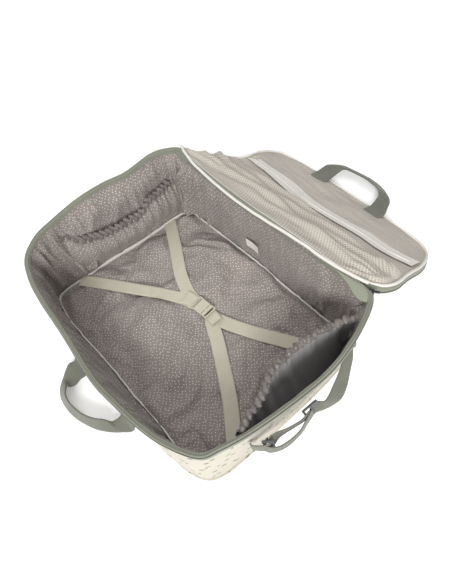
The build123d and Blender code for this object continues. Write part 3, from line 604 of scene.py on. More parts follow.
# bottom rows meet the seam; top rows run under the band's lower edge
wb = smooth(1 - hh / 0.13)[..., None]
seam3 = np.concatenate([B2, np.full((NS, 1), 5.0)], 1)
li = li * (1 - wb) + (seam3[:, None, :] + np.array([0, 0, 1.0]) * (h_in[None, :, None] * 120)) * wb
wt = smooth((hh - 0.80) / 0.2)[..., None]
topl = BAND_END + np.c_[OUT * 0.9, np.full(NS, 1.5)]
li = li * (1 - wt) + (topl[:, None, :] + np.array([0, 0, 1.0]) * ((h_in[None, :, None] - 1) * 130)) * wt
pin = np.zeros(li.shape[:2], bool)
pin[:, :2] = True
pin[:, -2:] = True
li0 = li.copy()
ls = relax(li[::2], pin[::2], 0.045, 24, closed_u=True, bending=0.35)
li = np.empty_like(li0)
li[::2] = ls
li[1::2] = (ls + np.roll(ls, -1, 0)) / 2
shell = wall(np.clip(li[..., 2].mean(0) / 150.0, 0, 1), np.zeros(li.shape[:2]))
push = ((li[..., :2] - shell[..., :2]) * OUT[:, None, :]).sum(-1) + 2.0
li[..., :2] -= OUT[:, None, :] * (np.maximum(push, 0) * smooth(hh / 0.1))[..., None]
mid_env = smooth(hh / 0.16) * smooth((1.0 - hh) / 0.16)
ripples = 4.5 * (fbm(li, 60.0, 12.0) + 0.3) + 1.8 * fbm(li, 24.0, 15.0)
li[..., :2] -= OUT[:, None, :] * ((1.15 * lining_fold(h_in) + np.maximum(ripples, -1.5)) * mid_env)[..., None]
# leave room for the standing binding along the seam
deep = ((B2[:, None, :] - li[..., :2]) * OUT[:, None, :]).sum(-1) + 0.4
li[..., :2] += OUT[:, None, :] * (np.maximum(deep, 0) * smooth((24 - li[..., 2]) / 9))[..., None]
lining_walls = grid("lining_walls", li, LINING, closed_u=True, flip=True)

# base lining: soft, laid over the board
cbl = coons(B2, 150, 110, CORN)
q3 = np.concatenate([cbl, np.zeros(cbl.shape[:2] + (1,))], -1)
CREASES = [((-170, 60), (-60, 120), 5.0, 7), ((-150, 100), (-40, 150), 4.0, 6), ((-215, 20), (-150, -40), 4.0, 7), ((-190, -20), (-150, -120), 4.5, 8),
           ((-120, 140), (20, 120), 3.5, 9), ((60, 120), (150, 60), 3.5, 9), ((-100, -60), (-60, -150), 3.0, 10), ((-40, 60), (80, 150), 3.0, 10),
           ((150, 20), (190, -60), 3.0, 9), ((0, -60), (100, -150), 2.5, 12), ((-200, 90), (-190, 150), 4.0, 6)]


def base_height(xy):
    """Height of the base lining at plan points."""
    xy = np.asarray(xy, float)
    p = np.concatenate([xy, np.zeros(xy.shape[:-1] + (1,))], -1)
    z = 8.5 + 20.0 * (fbm(p, 95.0, 1.0) + 0.15) + 9.0 * fbm(p, 45.0, 4.0) + 1.8 * fbm(p, 19.0, 6.0)
    for (x0, y0), (x1, y1), a, w in CREASES:
        d = np.array([x1 - x0, y1 - y0], float)
        L = np.linalg.norm(d); d /= L
        r = xy - np.array([x0, y0])
        s, t = r @ d, r @ np.array([-d[1], d[0]])
        t = t - 7 * np.sin(s / L * math.pi)
        z += a * np.exp(-(t / w) ** 2) * smooth(s / (0.3 * L)) * smooth((L - s) / (0.3 * L))
    return np.maximum(z, 3.2)


nu_, nv_ = cbl.shape[:2]
ue = np.minimum(np.arange(nu_), np.arange(nu_)[::-1])[:, None] / 9.0
ve = np.minimum(np.arange(nv_), np.arange(nv_)[::-1])[None, :] / 9.0
edge = smooth(np.minimum(ue, ve))
q3[..., 2] = 4.6 + (base_height(cbl) - 4.6) * edge
pin = np.zeros((nu_, nv_), bool); pin[0] = pin[-1] = True; pin[:, 0] = pin[:, -1] = True
q3 = relax(q3, pin, 0.035, 20, bending=0.8, gravity=0.0)
q3[..., 2] = np.maximum(q3[..., 2], 2.4)
BASE_FIELD = q3.copy()

# cream binding standing along the base seam
wav = np.array([noise.noise(Vector((x * 0.035, 3.0, 8.0))) + 0.5 * noise.noise(Vector((x * 0.11, 6.0, 1.0))) for x in S_MM])
lean = 1.6 * wav
ht = 8.0 + 1.2 * np.array([noise.noise(Vector((x * 0.05, 13.0, 8.0))) for x in S_MM])
sec = []
for dx, f in [(-0.2, 0), (-0.75, 0.3), (-0.85, 0.8), (-0.5, 1.0), (0.5, 1.0), (0.85, 0.8), (0.75, 0.3), (0.2, 0)]:
    p = np.c_[B2 - OUT * (2.2 + dx * 1.8 + (lean * f))[:, None], 4.2 + ht * f]
    sec.append(p)
seam_binding = grid("base_seam_binding_tape", np.stack(sec, 1), BIND, closed_u=True)

# ------------------------------------------------------------------ pockets
def pocket(side, mouth, bottom, n=420, drape=7.0, seed=1):
    """Panel with a gathered, elasticated mouth. Returns the panel's points, its rolled edge's centre line and radii,
    and the panel's normal.
    """
    r = np.random.default_rng(seed)
    M = even(catmull(mouth, 400), n)
    Bt = even(catmull(bottom, 400), n)
    u = np.linspace(0, 1, n)
    L = np.linalg.norm(np.diff(M, axis=0), axis=1).sum()
    ph = np.cumsum(1 + 0.45 * np.array([noise.noise(Vector((k * 0.045, seed * 3.3, 0))) for k in range(n)]))
    ph = ph / ph[-1] * (L / 11.5) * 2 * math.pi
    amp = 1.0 + 0.5 * np.array([noise.noise(Vector((k * 0.11, seed * 7.1, 2))) for k in range(n)])
    g = np.sign(np.sin(ph)) * np.abs(np.sin(ph)) ** 0.8 * amp
    g2 = np.sin(ph * 0.5 + 1.3) * 0.6 + 0.5 * np.sin(ph * 0.27 + seed)
    ends = smooth(np.minimum(u, 1 - u) / 0.06)
    nv = 46
    v = np.linspace(0, 1, nv)
    P = Bt[:, None] * (1 - v)[None, :, None] + M[:, None] * v[None, :, None]
    nrm = np.array([-side, 0, 0.12])
    belly = drape * np.sin(math.pi * v ** 1.4) ** 1.0
    gather = 1.0 * v ** 5 + 0.35 * v ** 2
    d = belly[None, :] * ends[:, None] + (g[:, None] * 2.6 * (v ** 6)[None, :] + g2[:, None] * 3.2 * (gather * (1.15 - v))[None, :] + g2[:, None] * 1.5 * (v * (1 - v))[None, :] * 4) * ends[:, None]
    d = d * smooth(v / 0.3)[None, :]
    P = P + nrm * d[..., None]
    P = P + np.array([0, 0, 1.0]) * (fbm(P, 25.0, seed) * 1.5 * np.sin(math.pi * v)[None, :])[..., None]
    P = P + nrm * (fbm(P, 18.0, seed + 4) * 1.6 * (np.sin(math.pi * np.minimum(v * 1.1, 1)) * smooth(v / 0.3))[None, :])[..., None]
    top = P[:, -1]
    # rolled, gathered edge: puffs between the pinches of the elastic
    jit = np.array([noise.noise(Vector((k * 0.09, seed * 5.0, 6))) for k in range(n)])
    jit2 = np.array([noise.noise(Vector((k * 0.17, seed * 2.0, 9))) for k in range(n)])
    lump = 2.8 + 1.2 * np.cos(ph * 2 + 0.6) * amp + 1.4 * jit2
    lump = np.maximum(lump, 1.2)
    c = top + np.array([0, 0, 1.0]) * (2.2 + 3.6 * jit + 2.4 * np.cos(ph + 0.5) * amp)[:, None] + nrm * (g * 3.0)[:, None]
    c[:, 1] += 1.6 * np.sin(2 * ph) * ends
    saw = 2 * ((ph / (2 * math.pi)) % 1.0) - 1
    saw = np.convolve(np.pad(saw, 2, mode="edge"), np.ones(5) / 5, "valid")
    c[:, 2] += 2.2 * saw * ends * (0.6 + 0.8 * np.abs(jit2))
    return P, c, lump, nrm


Lm = [(-254, -92, 116), (-250, -80, 112), (-243, -66, 100), (-230, -34, 92), (-221, 6, 86), (-217, 50, 86), (-218, 83, 100), (-222, 108, 100), (-230, 136, 101), (-236, 158, 99)]
Lm = slide(np.array([(-252.0, -78.9, 100.8), (-243.0, -65.8, 87.6), (-228.0, -32.0, 81.3), (-219.0, 8.3, 79.3), (-216.0, 53.5, 77.6), (-217.0, 84.2, 93.7), (-222.0, 111.3, 90.8), (-230.0, 141.7, 89.4)]), np.array([2, 4, 6, 6, 6, 5, 4, 2]))
Lm = np.vstack([[(-253, -96, 112)], Lm, [(-228, 160, 92)]])
Lb = [(-236, -104, 6), (-232.5, -60, 6), (-228, 0, 6), (-223.5, 60, 6), (-221.5, 120, 6), (-215, 150, 6)]
P, c, lump, nrm = pocket(-1, Lm, Lb, seed=2, drape=15)
pl_panel = grid("pocket_left_cloth", P, LINING, uv0=(40, 0))
# rolled edge in the darker dotted cloth, painted shade
pl_edge = tube("pocket_left_edge", c, HEM_PAINTED_SHADE, rvar=lump, sides=10, squash=1.25)
P2 = P + np.array([-0.8, 0, 0])
pl_wrong = grid("pocket_left_wrong_side", P2, WRONG, uv0=(40, 0))

Rm = np.array([(250, -92, 140), (241, -72, 130), (234.0, -60.2, 128.0), (229.0, -37.8, 128.0), (217.5, -13.8, 128.0), (212.2, -2.0, 128.0), (210.2, 18.0, 128.0),
               (209.0, 33.2, 128.0), (209.2, 46.4, 128.0), (210.6, 64.0, 128.0), (213.0, 80, 128.0), (217, 98, 128.0), (224, 120, 128), (234, 140, 127)], float)
Rb = [(233, -108, 5), (234.5, -60, 5), (234.5, 0, 5), (233.5, 60, 5), (229.5, 115, 5), (218, 145, 5)]
P, c, lump, nrm = pocket(1, Rm, Rb, seed=5, drape=6)
pr_panel = grid("pocket_right_cloth", P, LINING, uv0=(0, 30))
# rolled edge in the darker dotted cloth, painted shade
pr_edge = tube("pocket_right_edge", c, HEM_PAINTED_SHADE, rvar=lump * 1.05, sides=10, squash=1.25)
P2 = P + np.array([0.9, 0, 0])
pr_wrong = grid("pocket_right_wrong_side", P2, WRONG, uv0=(0, 30))

# ------------------------------------------------------------------ care label on the back lining
lb = np.array([[(-21.2, 77.4), (9.6, 81.6)], [(-16.9, 65.4), (12.2, 65.0)]])
u = np.linspace(0, 1, 9)[:, None]
up_ = np.array([-21.2, 0, 79.4]) * (1 - u) + np.array([10.6, 0, 79.6]) * u
dn_ = np.array([-17.9, 0, 64.4]) * (1 - u) + np.array([12.2, 0, 64.0]) * u
lab = np.stack([up_ * (1 - k) + dn_ * k for k in np.linspace(0, 1, 7)], 1)
lab[..., 1] = 153.5 + 1.5 * np.sin(np.linspace(0, 3, 9))[:, None] - 2.0 * np.linspace(0, 1, 7)[None, :]
label = grid("care_label_cloth", lab, LABEL)

# ------------------------------------------------------------------ packing straps
from mathutils.kdtree import KDTree
_kd = KDTree(BASE_FIELD.shape[0] * BASE_FIELD.shape[1])
_bf = BASE_FIELD.reshape(-1, 3)
for _i, _p in enumerate(_bf):
    _kd.insert((_p[0], _p[1], 0), _i)
_kd.balance()


def settled(x, y):
    return float(np.mean([_bf[i, 2] for _, i, _ in _kd.find_n((x, y, 0), 3)]))


PRESS = []


def base_strap(name, pts, width=25.0, lift=1.6, t=1.5, n=90, mat=CREAM_WEB, widths=None, press=True):
    c = catmull(np.array(pts, float)[:, :2], 200)
    c = even(c, n)
    tg = np.gradient(c, axis=0); tg /= np.linalg.norm(tg, axis=1, keepdims=True)
    w = np.stack([-tg[:, 1], tg[:, 0]], 1)
    wd = np.full(n, width) if widths is None else np.interp(np.linspace(0, 1, n), np.linspace(0, 1, len(widths)), widths)
    zz = np.array([[settled(*(c[i] + w[i] * f * wd[i] / 2)) for f in (-1, -0.5, 0, 0.5, 1)] for i in range(n)])
    m_ = max(3, int(n * 0.24))
    k = np.ones(2 * m_ + 1) / (2 * m_ + 1)
    sm = lambda q: np.convolve(np.pad(q, m_, mode="edge"), k, "valid")
    top = sm(sm(zz.mean(1))) + 0.8
    sides = [sm(sm(zz[:, 0])), sm(sm(zz[:, 4]))]
    e = []
    for sgn, col in ((-1, 0), (1, 1)):
        zed = 0.6 * top + 0.4 * sides[col] + lift
        e.append(np.c_[c + w * sgn * wd[:, None] / 2, zed])
    if mat is CREAM_WEB and press:
        for i in range(n):
            for f in np.linspace(-1.05, 1.05, 12):
                q_ = e[0][i] * (1 - f) / 2 + e[1][i] * (1 + f) / 2
                PRESS.append((q_[0], q_[1], q_[2] - t / 2 - 0.9))
    return strip(name, e[0], e[1], mat, t=t, n=n)


s_lf = base_strap("packing_strap_lf", [(-228, -108), (-182, -76), (-137.1, -46.3), (-95, -18.5), (-60, 2.5), (-38, 13.5), (-18, 20)])
s_lr = base_strap("packing_strap_lr", [(-221, 109), (-185, 91), (-149.9, 72.6), (-97.6, 43.8), (-62, 30), (-40, 24.5), (-20, 22.5)], lift=2.8)
s_rf = base_strap("packing_strap_rf", [(20, 24), (36, 15), (64.3, 1.5), (118.9, -28.2), (163.9, -54.1), (199.2, -78.5), (231, -101)], lift=2.8)
s_rr = base_strap("packing_strap_rr", [(20, 27), (36, 32.0), (64.2, 42.5), (115.1, 65.4), (165.0, 92.6), (205, 116)], lift=1.8)
y_l = base_strap("strap_yoke_l", [(-42, 15), (-30, 19), (-19, 22.5)], lift=4.4, t=1.4, n=30, press=False, widths=[29, 26, 25])
y_r = base_strap("strap_yoke_r", [(17, 26), (27, 25.5), (38, 24.0)], lift=4.2, t=1.4, n=30, press=False, widths=[25, 27, 33])
ZC = max(settled(-4 + a_, 24 + b_) for a_ in (-20, -10, 0, 10, 20) for b_ in (-12, 0, 12)) + 3.2

# side-release clip
cx = np.array([1.0, 0.10, 0.0]); cy = np.array([-0.10, 1.0, 0.0])
cc = np.array([-2.0, 24.2, ZC + 1.0])
parts = [box("c0", cc + cx * -3, cx, cy, (19, 27, 5.0), CREAM_PLASTIC, 1.4),
         box("c1", cc + cx * -18.5, cx, cy, (2.4, 28, 4.0), CREAM_PLASTIC, 1.0),
         box("c5", cc + cx * -15.0, cx, cy, (1.6, 26, 3.0), CREAM_PLASTIC, 0.6),
         box("c2", cc + cx * -15 + cy * 12.9, cx, cy, (8, 2.4, 4.0), CREAM_PLASTIC, 0.9),
         box("c3", cc + cx * -15 - cy * 12.9, cx, cy, (8, 2.4, 4.0), CREAM_PLASTIC, 0.9)]
clip_f = join("clip_female", parts)
parts = [box("d0", cc + cx * 10.6, cx, cy, (6.4, 26, 4.6), CREAM_PLASTIC, 1.3),
         box("d1", cc + cx * 19.0, cx, cy, (2.4, 27, 3.8), CREAM_PLASTIC, 0.9),
         box("d2", cc + cx * 15.5 + cy * 12.3, cx, cy, (8, 2.4, 3.8), CREAM_PLASTIC, 0.8),
         box("d3", cc + cx * 15.5 - cy * 12.3, cx, cy, (8, 2.4, 3.8), CREAM_PLASTIC, 0.8),
         box("d4", cc + cx * 3 + cy * 11.6, cx, cy, (14, 2.4, 3.0), CREAM_PLASTIC, 0.8),
         box("d5", cc + cx * 3 - cy * 11.6, cx, cy, (16, 2.4, 3.4), CREAM_PLASTIC, 0.8),
         box("d6", cc + cx * 3, cx, cy, (16, 4.5, 3.2), CREAM_PLASTIC, 0.8)]
clip_m = join("clip_male", parts)
ZT = max(settled(x_, y_) for x_ in range(14, 62, 6) for y_ in range(6, 46, 6)) + 6.4
tail = strip("clip_tail", [(15, 15.0, ZT), (24, 14.8, ZT), (36, 14.2, ZT - 0.2)], [(15, 38.0, ZT), (24, 37.6, ZT), (36, 36.4, ZT - 0.2)], CREAM_WEB, t=1.3, n=40)

# the lining lies flat under the straps
_kp = KDTree(len(PRESS))
for _i, _p in enumerate(PRESS):
    _kp.insert((_p[0], _p[1], 0), _i)
_kp.balance()
for _i in range(nu_):
    for _j in range(nv_):
        _co, _k, _d = _kp.find((q3[_i, _j, 0], q3[_i, _j, 1], 0))
        if _d < 9.0:
            f_ = float(smooth((_d - 2.0) / 7.0))
            q3[_i, _j, 2] = min(q3[_i, _j, 2], PRESS[_k][2] + 9.0 * f_)
q3[..., 2] = np.maximum(q3[..., 2], 2.2)
lining_base = grid("lining_base_cloth", q3, LINING, uv0=(13.0, 7.0))

# ------------------------------------------------------------------ handles
FH = [((-75.4, -204.7, 28.0), (-36.2, -204.3, 28.0)), ((-80.2, -217.2, 22.0), (-41.3, -217.8, 18.0)), ((-79.1, -227.0, 16.0), (-43.6, -231.2, 10.0)),
      ((-75.7, -237.5, 9.0), (-45.7, -239.6, 14.0)), ((-70.4, -246.4, 5.0), (-44.4, -240.7, 24.0)), ((-61.4, -255.9, 3.0), (-37.4, -244.4, 30.0)),
      ((-49.1, -262.2, 2.0), (-27.7, -249.6, 32.0)), ((-33.1, -264.7, 2.0), (-13.3, -251.5, 33.0)), ((-15.8, -264.3, 2.0), (2.4, -250.0, 34.0)),
      ((4.2, -260.7, 2.0), (20.1, -245.7, 34.5)), ((23.8, -253.9, 2.0), (33.0, -239.9, 34.5)), ((43.9, -244.3, 2.0), (44.9, -232.1, 34.0)),
      ((61.0, -231.7, 2.0), (51.6, -225.4, 33.0)), ((72.8, -221.0, 3.0), (57.1, -220.3, 28.0)), ((82.1, -211.5, 5.0), (59.2, -216.5, 20.0)),
      ((90.3, -203.5, 9.0), (61.6, -208.8, 20.0)), ((95.5, -196.5, 17.0), (63.5, -199.3, 25.0))]
FH = [((-91, -184.5, 62), (-55, -184.5, 62)), ((-86, -190, 46), (-48, -190.5, 46))] + FH + [((96, -191.0, 34), (61.5, -192, 38)), ((94.5, -185.5, 62), (58.5, -185.5, 62))]
front_handle = strip("carry_handle_front", [a for a, _ in FH], [b for _, b in FH], WEB, t=2.4, n=260)

LH = [((-84.0, 399.0, 20.0), (-48.5, 400.1, 20.0)), ((-84.9, 418.1, 17.0), (-49.6, 420.6, 18.0)), ((-84.6, 431.8, 14.0), (-49.0, 437.5, 18.0)),
      ((-76.5, 450.3, 6.0), (-40.5, 438.3, 24.0)), ((-62.5, 459.9, 4.0), (-28.6, 436.9, 28.0)), ((-46.2, 462.8, 3.0), (-14.5, 436.8, 30.0)),
      ((-16.8, 466.5, 2.0), (8.2, 437.2, 31.0)), ((5.8, 466.9, 2.0), (24.4, 436.4, 30.0)), ((27.7, 463.7, 2.0), (36.2, 437.2, 26.0)),
      ((47.9, 455.6, 4.0), (42.1, 437.9, 19.0)), ((70.2, 438.9, 10.0), (47.7, 431.0, 15.0)), ((80.3, 419.7, 14.0), (50.5, 421.5, 15.0)),
      ((90.5, 396.3, 20.0), (56.0, 396.3, 20.0))]
LH = [((-83, 376, 27), (-47, 376, 27))] + LH + [((91, 376, 27), (55, 376, 27))]
lid_handle = strip("carry_handle_lid", [a for a, _ in LH], [b for _, b in LH], WEB, t=2.4, n=240)

# stitched patches under the front handle's legs
def front_patch(name, x0, x1):
    hs = np.linspace(0.66, 0.34, 16)
    cols = []
    for x in np.linspace(x0, x1, 7):
        i = [k for k in range(NS) if 23.3 < T[k] or T[k] < 0.2]
        k = i[int(np.argmin(np.abs(R2[i, 0] * 0.5 + B2[i, 0] * 0.5 - x)))]
        w_ = wall(hs, np.full((NS, len(hs)), -2.8))[k]
        cols.append(w_)
    e = np.stack(cols, 1)
    return grid(name, e, WEB, flip=False)


fp = join("front_handle_patches_cloth", [front_patch("fp1", -91, -55), front_patch("fp2", 58.5, 94.5)])
m = fp.modifiers.new("t", "SOLIDIFY"); m.thickness = 0.002; m.offset = 0.0

# ------------------------------------------------------------------ end strap
UPR = [(252.7, 114.3, 132.0), (260.1, 107.2, 122.0), (267.7, 99.2, 110.0), (276.0, 86.1, 100.0), (285.9, 69.4, 88.0), (290.0, 55.8, 78.0), (287.5, 45.2, 70.0), (283.6, 29.3, 70.0), (278.0, 13.3, 74.0), (276.3, 5.3, 76.0)]
UPL = [(254.1, 92.8, 132.0), (259.3, 86.2, 122.0), (264.5, 78.6, 112.0), (269.4, 66.2, 104.0), (273.5, 53.3, 97.0), (277.3, 42.7, 93.0), (279.8, 31.7, 92.0), (275.9, 25.6, 95.0), (271.7, 20.1, 98.0), (271.9, 13.1, 99.0)]
UPR = [(262, 108, 140), (263.5, 107, 132)] + UPR[1:]
UPL = [(262, 84, 140), (263.0, 84, 132)] + UPL[1:]
end_upper = strip("end_strap_upper_web", UPR, UPL, WEB, t=1.6, n=140)
R1U = [(277.2, 4.0, 100.0), (279.1, -10.1, 100.0), (277.2, -22.1, 100.0), (273.9, -35.3, 101.0), (269.1, -47.9, 102.0), (268.6, -58.7, 102.0), (269.7, -66.6, 101.0)]
R1L = [(276.1, 8.3, 78.0), (278.0, -6.1, 80.0), (275.8, -20.2, 80.0), (272.9, -35.3, 80.0), (271.8, -46.5, 80.0), (273.4, -54.6, 80.0), (274.9, -59.9, 79.0)]
R2U = [(278.1, 7.9, 98.0), (279.3, 3.0, 96.0), (282.6, -8.8, 92.0), (285.5, -20.2, 90.0), (286.1, -33.4, 90.0), (285.0, -47.6, 92.0), (282.3, -58.5, 94.0), (277.0, -66.6, 98.0), (271.2, -70.5, 100.5), (267.4, -68.0, 103.0), (266.5, -61.0, 103.0)]
R2L = [(278.9, 12.3, 74.0), (280.1, 6.3, 72.0), (281.7, -3.7, 69.0), (284.3, -14.6, 67.0), (285.5, -29.7, 67.0), (285.4, -45.2, 69.0), (282.4, -58.1, 72.0), (276.9, -69.1, 76.0), (270.5, -72.3, 79.0), (266.6, -69.2, 81.0), (266.0, -62.0, 81.0)]
run1 = strip("end_strap_run_a", R1U, R1L, WEB, t=1.6, n=100)
run2 = strip("end_strap_run_b", R2U, R2L, WEB, t=1.6, n=140)
end_loop = join("end_strap_loop_web", [run1, run2])
tabo = strip("end_strap_tab_web", [(256.5, -84, 104), (262, -83, 105), (270, -74, 104), (273.5, -66, 103), (272, -61, 102)],
             [(255.5, -84, 82), (261, -83, 81), (270, -75, 80), (274.5, -67, 79), (273.5, -61, 79)], WEB, t=1.6, n=60)
ax_ = np.array([0.10, 0.30, -0.95])                        # along the webbing's width
al_ = np.array([0.55, 0.80, 0.0])
rc = np.array([271.5, -65.0, 91.0])
wdir = np.array([0.06, 0.05, -1.0]); wdir /= np.linalg.norm(wdir)
ldir = np.array([0.62, 0.78, 0.0]); ldir /= np.linalg.norm(ldir)
ring = join("strap_ring_plastic", [
    box("r0", rc + ldir * 6.0, wdir, ldir, (32, 3.0, 3.0), DARK, 0.9),
    box("r1", rc - ldir * 6.0, wdir, ldir, (32, 3.0, 3.0), DARK, 0.9),
    box("r2", rc + wdir * 15.0, ldir, wdir, (14.5, 3.0, 3.0), DARK, 0.9),
    box("r3", rc - wdir * 15.0, ldir, wdir, (14.5, 3.0, 3.0), DARK, 0.9)])
gc = np.array([275.6, 11.5, 88.0])
gl = np.array([0.05, 0.93, 0.05]); gl /= np.linalg.norm(gl)
gw = np.array([0.16, 0.20, -0.96]); gw /= np.linalg.norm(gw)
glide = join("tri_glide_plastic", [
    box("g0", gc + gl * 11.5, gw, gl, (31, 3.2, 3.2), DARK, 1.0),
    box("g1", gc - gl * 11.5, gw, gl, (31, 3.2, 3.2), DARK, 1.0),
    box("g2", gc, gw, gl, (31, 3.0, 3.0), DARK, 1.0),
    box("g3", gc + gw * 14.5, gl, gw, (26, 3.0, 3.2), DARK, 1.0),
    box("g4", gc - gw * 14.5, gl, gw, (26, 3.0, 3.2), DARK, 1.0)])

# ------------------------------------------------------------------ lid
SL = math.radians(30.1)
HY, HZ = 178.0, 150.0


def lidp(x, d, w=0.0):
    x, d, w = np.broadcast_arrays(np.asarray(x, float), np.asarray(d, float), np.asarray(w, float))
    return np.stack([x, HY + d * math.cos(SL) + w * math.sin(SL), HZ - d * math.sin(SL) + w * math.cos(SL)], -1)


NEAR = [(-231.4, 10), (-200, 1), (-167.6, -5), (-121, -8.5), (-81, -11), (-38, -11), (-5, -10.5), (26, -8), (61, -5.5), (83, -4), (112, -2.5), (149, -2), (168, 0.5), (186, 3.5), (204, 8.5), (217.0, 15.0)]
RIGHTL = [(217.0, 15.0), (228.0, 28.4), (232.7, 46.1), (233.4, 64.5), (229.9, 91.0), (227.9, 115.7), (226.7, 143.8), (221.4, 171.1), (211.5, 197.7), (197.1, 214.5), (182.8, 224.2)]
FAR = [(-176, 226), (-170, 236.1), (-154.4, 241.6), (-132.6, 245.7), (-111.2, 248.6), (-81.8, 249.9), (-50.5, 248.6), (-16.7, 245.8), (12.4, 243.7), (39.1, 243.9), (65.0, 244.1), (93.0, 240.8), (122.5, 235.4), (148.4, 231.5), (173.5, 227.7), (182.8, 224.2)]
LEFTL = [(-231.4, 10), (-211.8, 17.0), (-197.2, 34.4), (-185.7, 61.7), (-173.3, 85.1), (-167.4, 105.1), (-172.8, 141.6), (-181.5, 177.6), (-182.6, 205.2), (-176, 226)]
NU, NV = 190, 110
near, far = even(catmull(NEAR, 400), NU), even(catmull(FAR, 400), NU)
left, right = even(catmull(LEFTL, 400), NV), even(catmull(RIGHTL, 400), NV)
u = np.linspace(0, 1, NU)[:, None, None]
v = np.linspace(0, 1, NV)[None, :, None]
LXY = ((1 - v) * near[:, None] + v * far[:, None] + (1 - u) * left[None] + u * right[None]
       - (1 - u) * (1 - v) * near[0] - u * (1 - v) * near[-1] - (1 - u) * v * far[0] - u * v * far[-1])


def lid_drop(x, d):
    """How far the soft lid hangs below its plane, kept true to the picture by slide()."""
    x, d = np.asarray(x, float), np.asarray(d, float)
    z = -13.0 * smooth((d - 120) / 130)
    z = z - 26.0 * np.exp(-((d - 82) / 44) ** 2) * smooth((-x - 95) / 90)
    z = z - 5.0 * np.exp(-((d - 140) / 26) ** 2) * smooth((x + 120) / 120)
    z = z + 5.0 * np.exp(-((d - 70) / 50) ** 2) * smooth((x + 100) / 150)
    return z


LP = slide(lidp(LXY[..., 0], LXY[..., 1]), lid_drop(LXY[..., 0], LXY[..., 1]))
LN = np.cross(np.gradient(LP, axis=0), np.gradient(LP, axis=1))
LN /= np.linalg.norm(LN, axis=2, keepdims=True)
if LN[..., 2].mean() < 0:
    LN = -LN
uu = np.linspace(0, 1, NU)[:, None] * np.ones((1, NV))
vv = np.ones((NU, 1)) * np.linspace(0, 1, NV)[None, :]
eu = smooth(np.minimum(uu, 1 - uu) / 0.035) * smooth(np.minimum(vv, 1 - vv) / 0.05)
X, D = LXY[..., 0], LXY[..., 1]
wrk = np.zeros((NU, NV))
# long soft folds of the rear mesh, roughly along the hinge, gathering at the left end
for k, (c0, c1, a, w_) in enumerate([(22, 34, 3.6, 6), (40, 50, 3.2, 6), (56, 66, 4.2, 7), (74, 82, 3.4, 6), (92, 96, 3.6, 6), (30, 78, 2.6, 5), (60, 34, 2.4, 5)]):
    cl = c0 + (c1 - c0) * (X + 230) / 460 + 5 * np.sin(X / 47.0 + k * 1.7)
    wrk += a * np.exp(-((D - cl) / w_) ** 2) * (0.55 + 0.45 * np.sin(X / 70.0 + k * 2.1))
for k in range(10):                      # short radiating folds at the left end
    ang = 0.25 + 0.12 * k
    r0 = np.hypot(X + 236, D - 4)
    th = np.arctan2(D - 4, X + 236)
    wrk += 2.6 * np.exp(-((th - ang) * r0 / 4.0) ** 2) * smooth(r0 / 25) * smooth((150 - r0) / 70)
for k in range(6):                       # puckers at the right end
    r0 = np.hypot(X - 238, D - 40)
    th = np.arctan2(D - 40, 238 - X)
    wrk += 2.4 * np.exp(-((th + 0.5 - 0.28 * k) * r0 / 4.0) ** 2) * smooth(r0 / 15) * smooth((90 - r0) / 50)
pp = np.stack([X, D, np.zeros_like(X)], -1)
wrk += 2.6 * fbm(pp, 52.0, 3.0) + 1.1 * fbm(pp * np.array([0.5, 1.6, 1]), 24.0, 8.0)
BFAR = np.interp(X, [-159, -132, -103, -71, -40, -12, 22, 47, 83, 111, 135, 159, 180, 196, 222], [150.6, 149.7, 150.3, 149, 146, 138, 130, 132, 140, 139.6, 138.4, 137.2, 141, 148.5, 152])
BNEAR = np.interp(X, [-162, -132, -101, -63, -31, 1, 19, 49, 75, 112, 137, 159, 183, 206, 221], [131, 126.6, 118, 110, 104.3, 101.5, 101.4, 106.2, 110, 119, 121.3, 118, 122, 131.7, 136])
_c, _h = (BNEAR + BFAR) / 2, np.maximum((BFAR - BNEAR) / 2, 15.0)
inband = smooth((D - _c + _h + 4) / 5) * smooth((_c + _h + 4 - D) / 5)
wrk = 2.0 * wrk * (1 - 0.85 * inband) - 1.0 * inband
LM = LP + LN * (wrk * eu)[..., None]
lid_mesh = grid("lid_mesh_cloth", LM, MESH)

# cream tape and coil of the mesh pocket's zip
def lid_surface(x, d, lift):
    """Point on the wrinkled lid surface at lid-plane coordinates."""
    x, d = np.broadcast_arrays(np.asarray(x, float), np.asarray(d, float))
    flat = np.stack([X.ravel(), D.ravel()], 1)
    out = []
    from mathutils.kdtree import KDTree
    if "kd" not in CACHE:
        kd = KDTree(len(flat))
        for i, (a, b_) in enumerate(flat):
            kd.insert((a, b_, 0), i)
        kd.balance()
        CACHE["kd"] = kd
    P_, N_ = LM.reshape(-1, 3), LN.reshape(-1, 3)
    for a, b_ in zip(x.ravel(), d.ravel()):
        near_ = CACHE["kd"].find_n((a, b_, 0), 4)
        wts = np.array([1 / (dd + 0.3) ** 2 for _, _, dd in near_]); wts /= wts.sum()
        ids = [i for _, i, _ in near_]
        base = (P_[ids] * wts[:, None]).sum(0)
        n_ = (N_[ids] * wts[:, None]).sum(0)
        fx = a - (flat[ids, 0] * wts).sum(); fd = b_ - (flat[ids, 1] * wts).sum()
        base = base + np.array([fx, fd * math.cos(SL), -fd * math.sin(SL)])
        out.append(base + n_ / np.linalg.norm(n_) * lift)
    return np.array(out).reshape(x.shape + (3,))


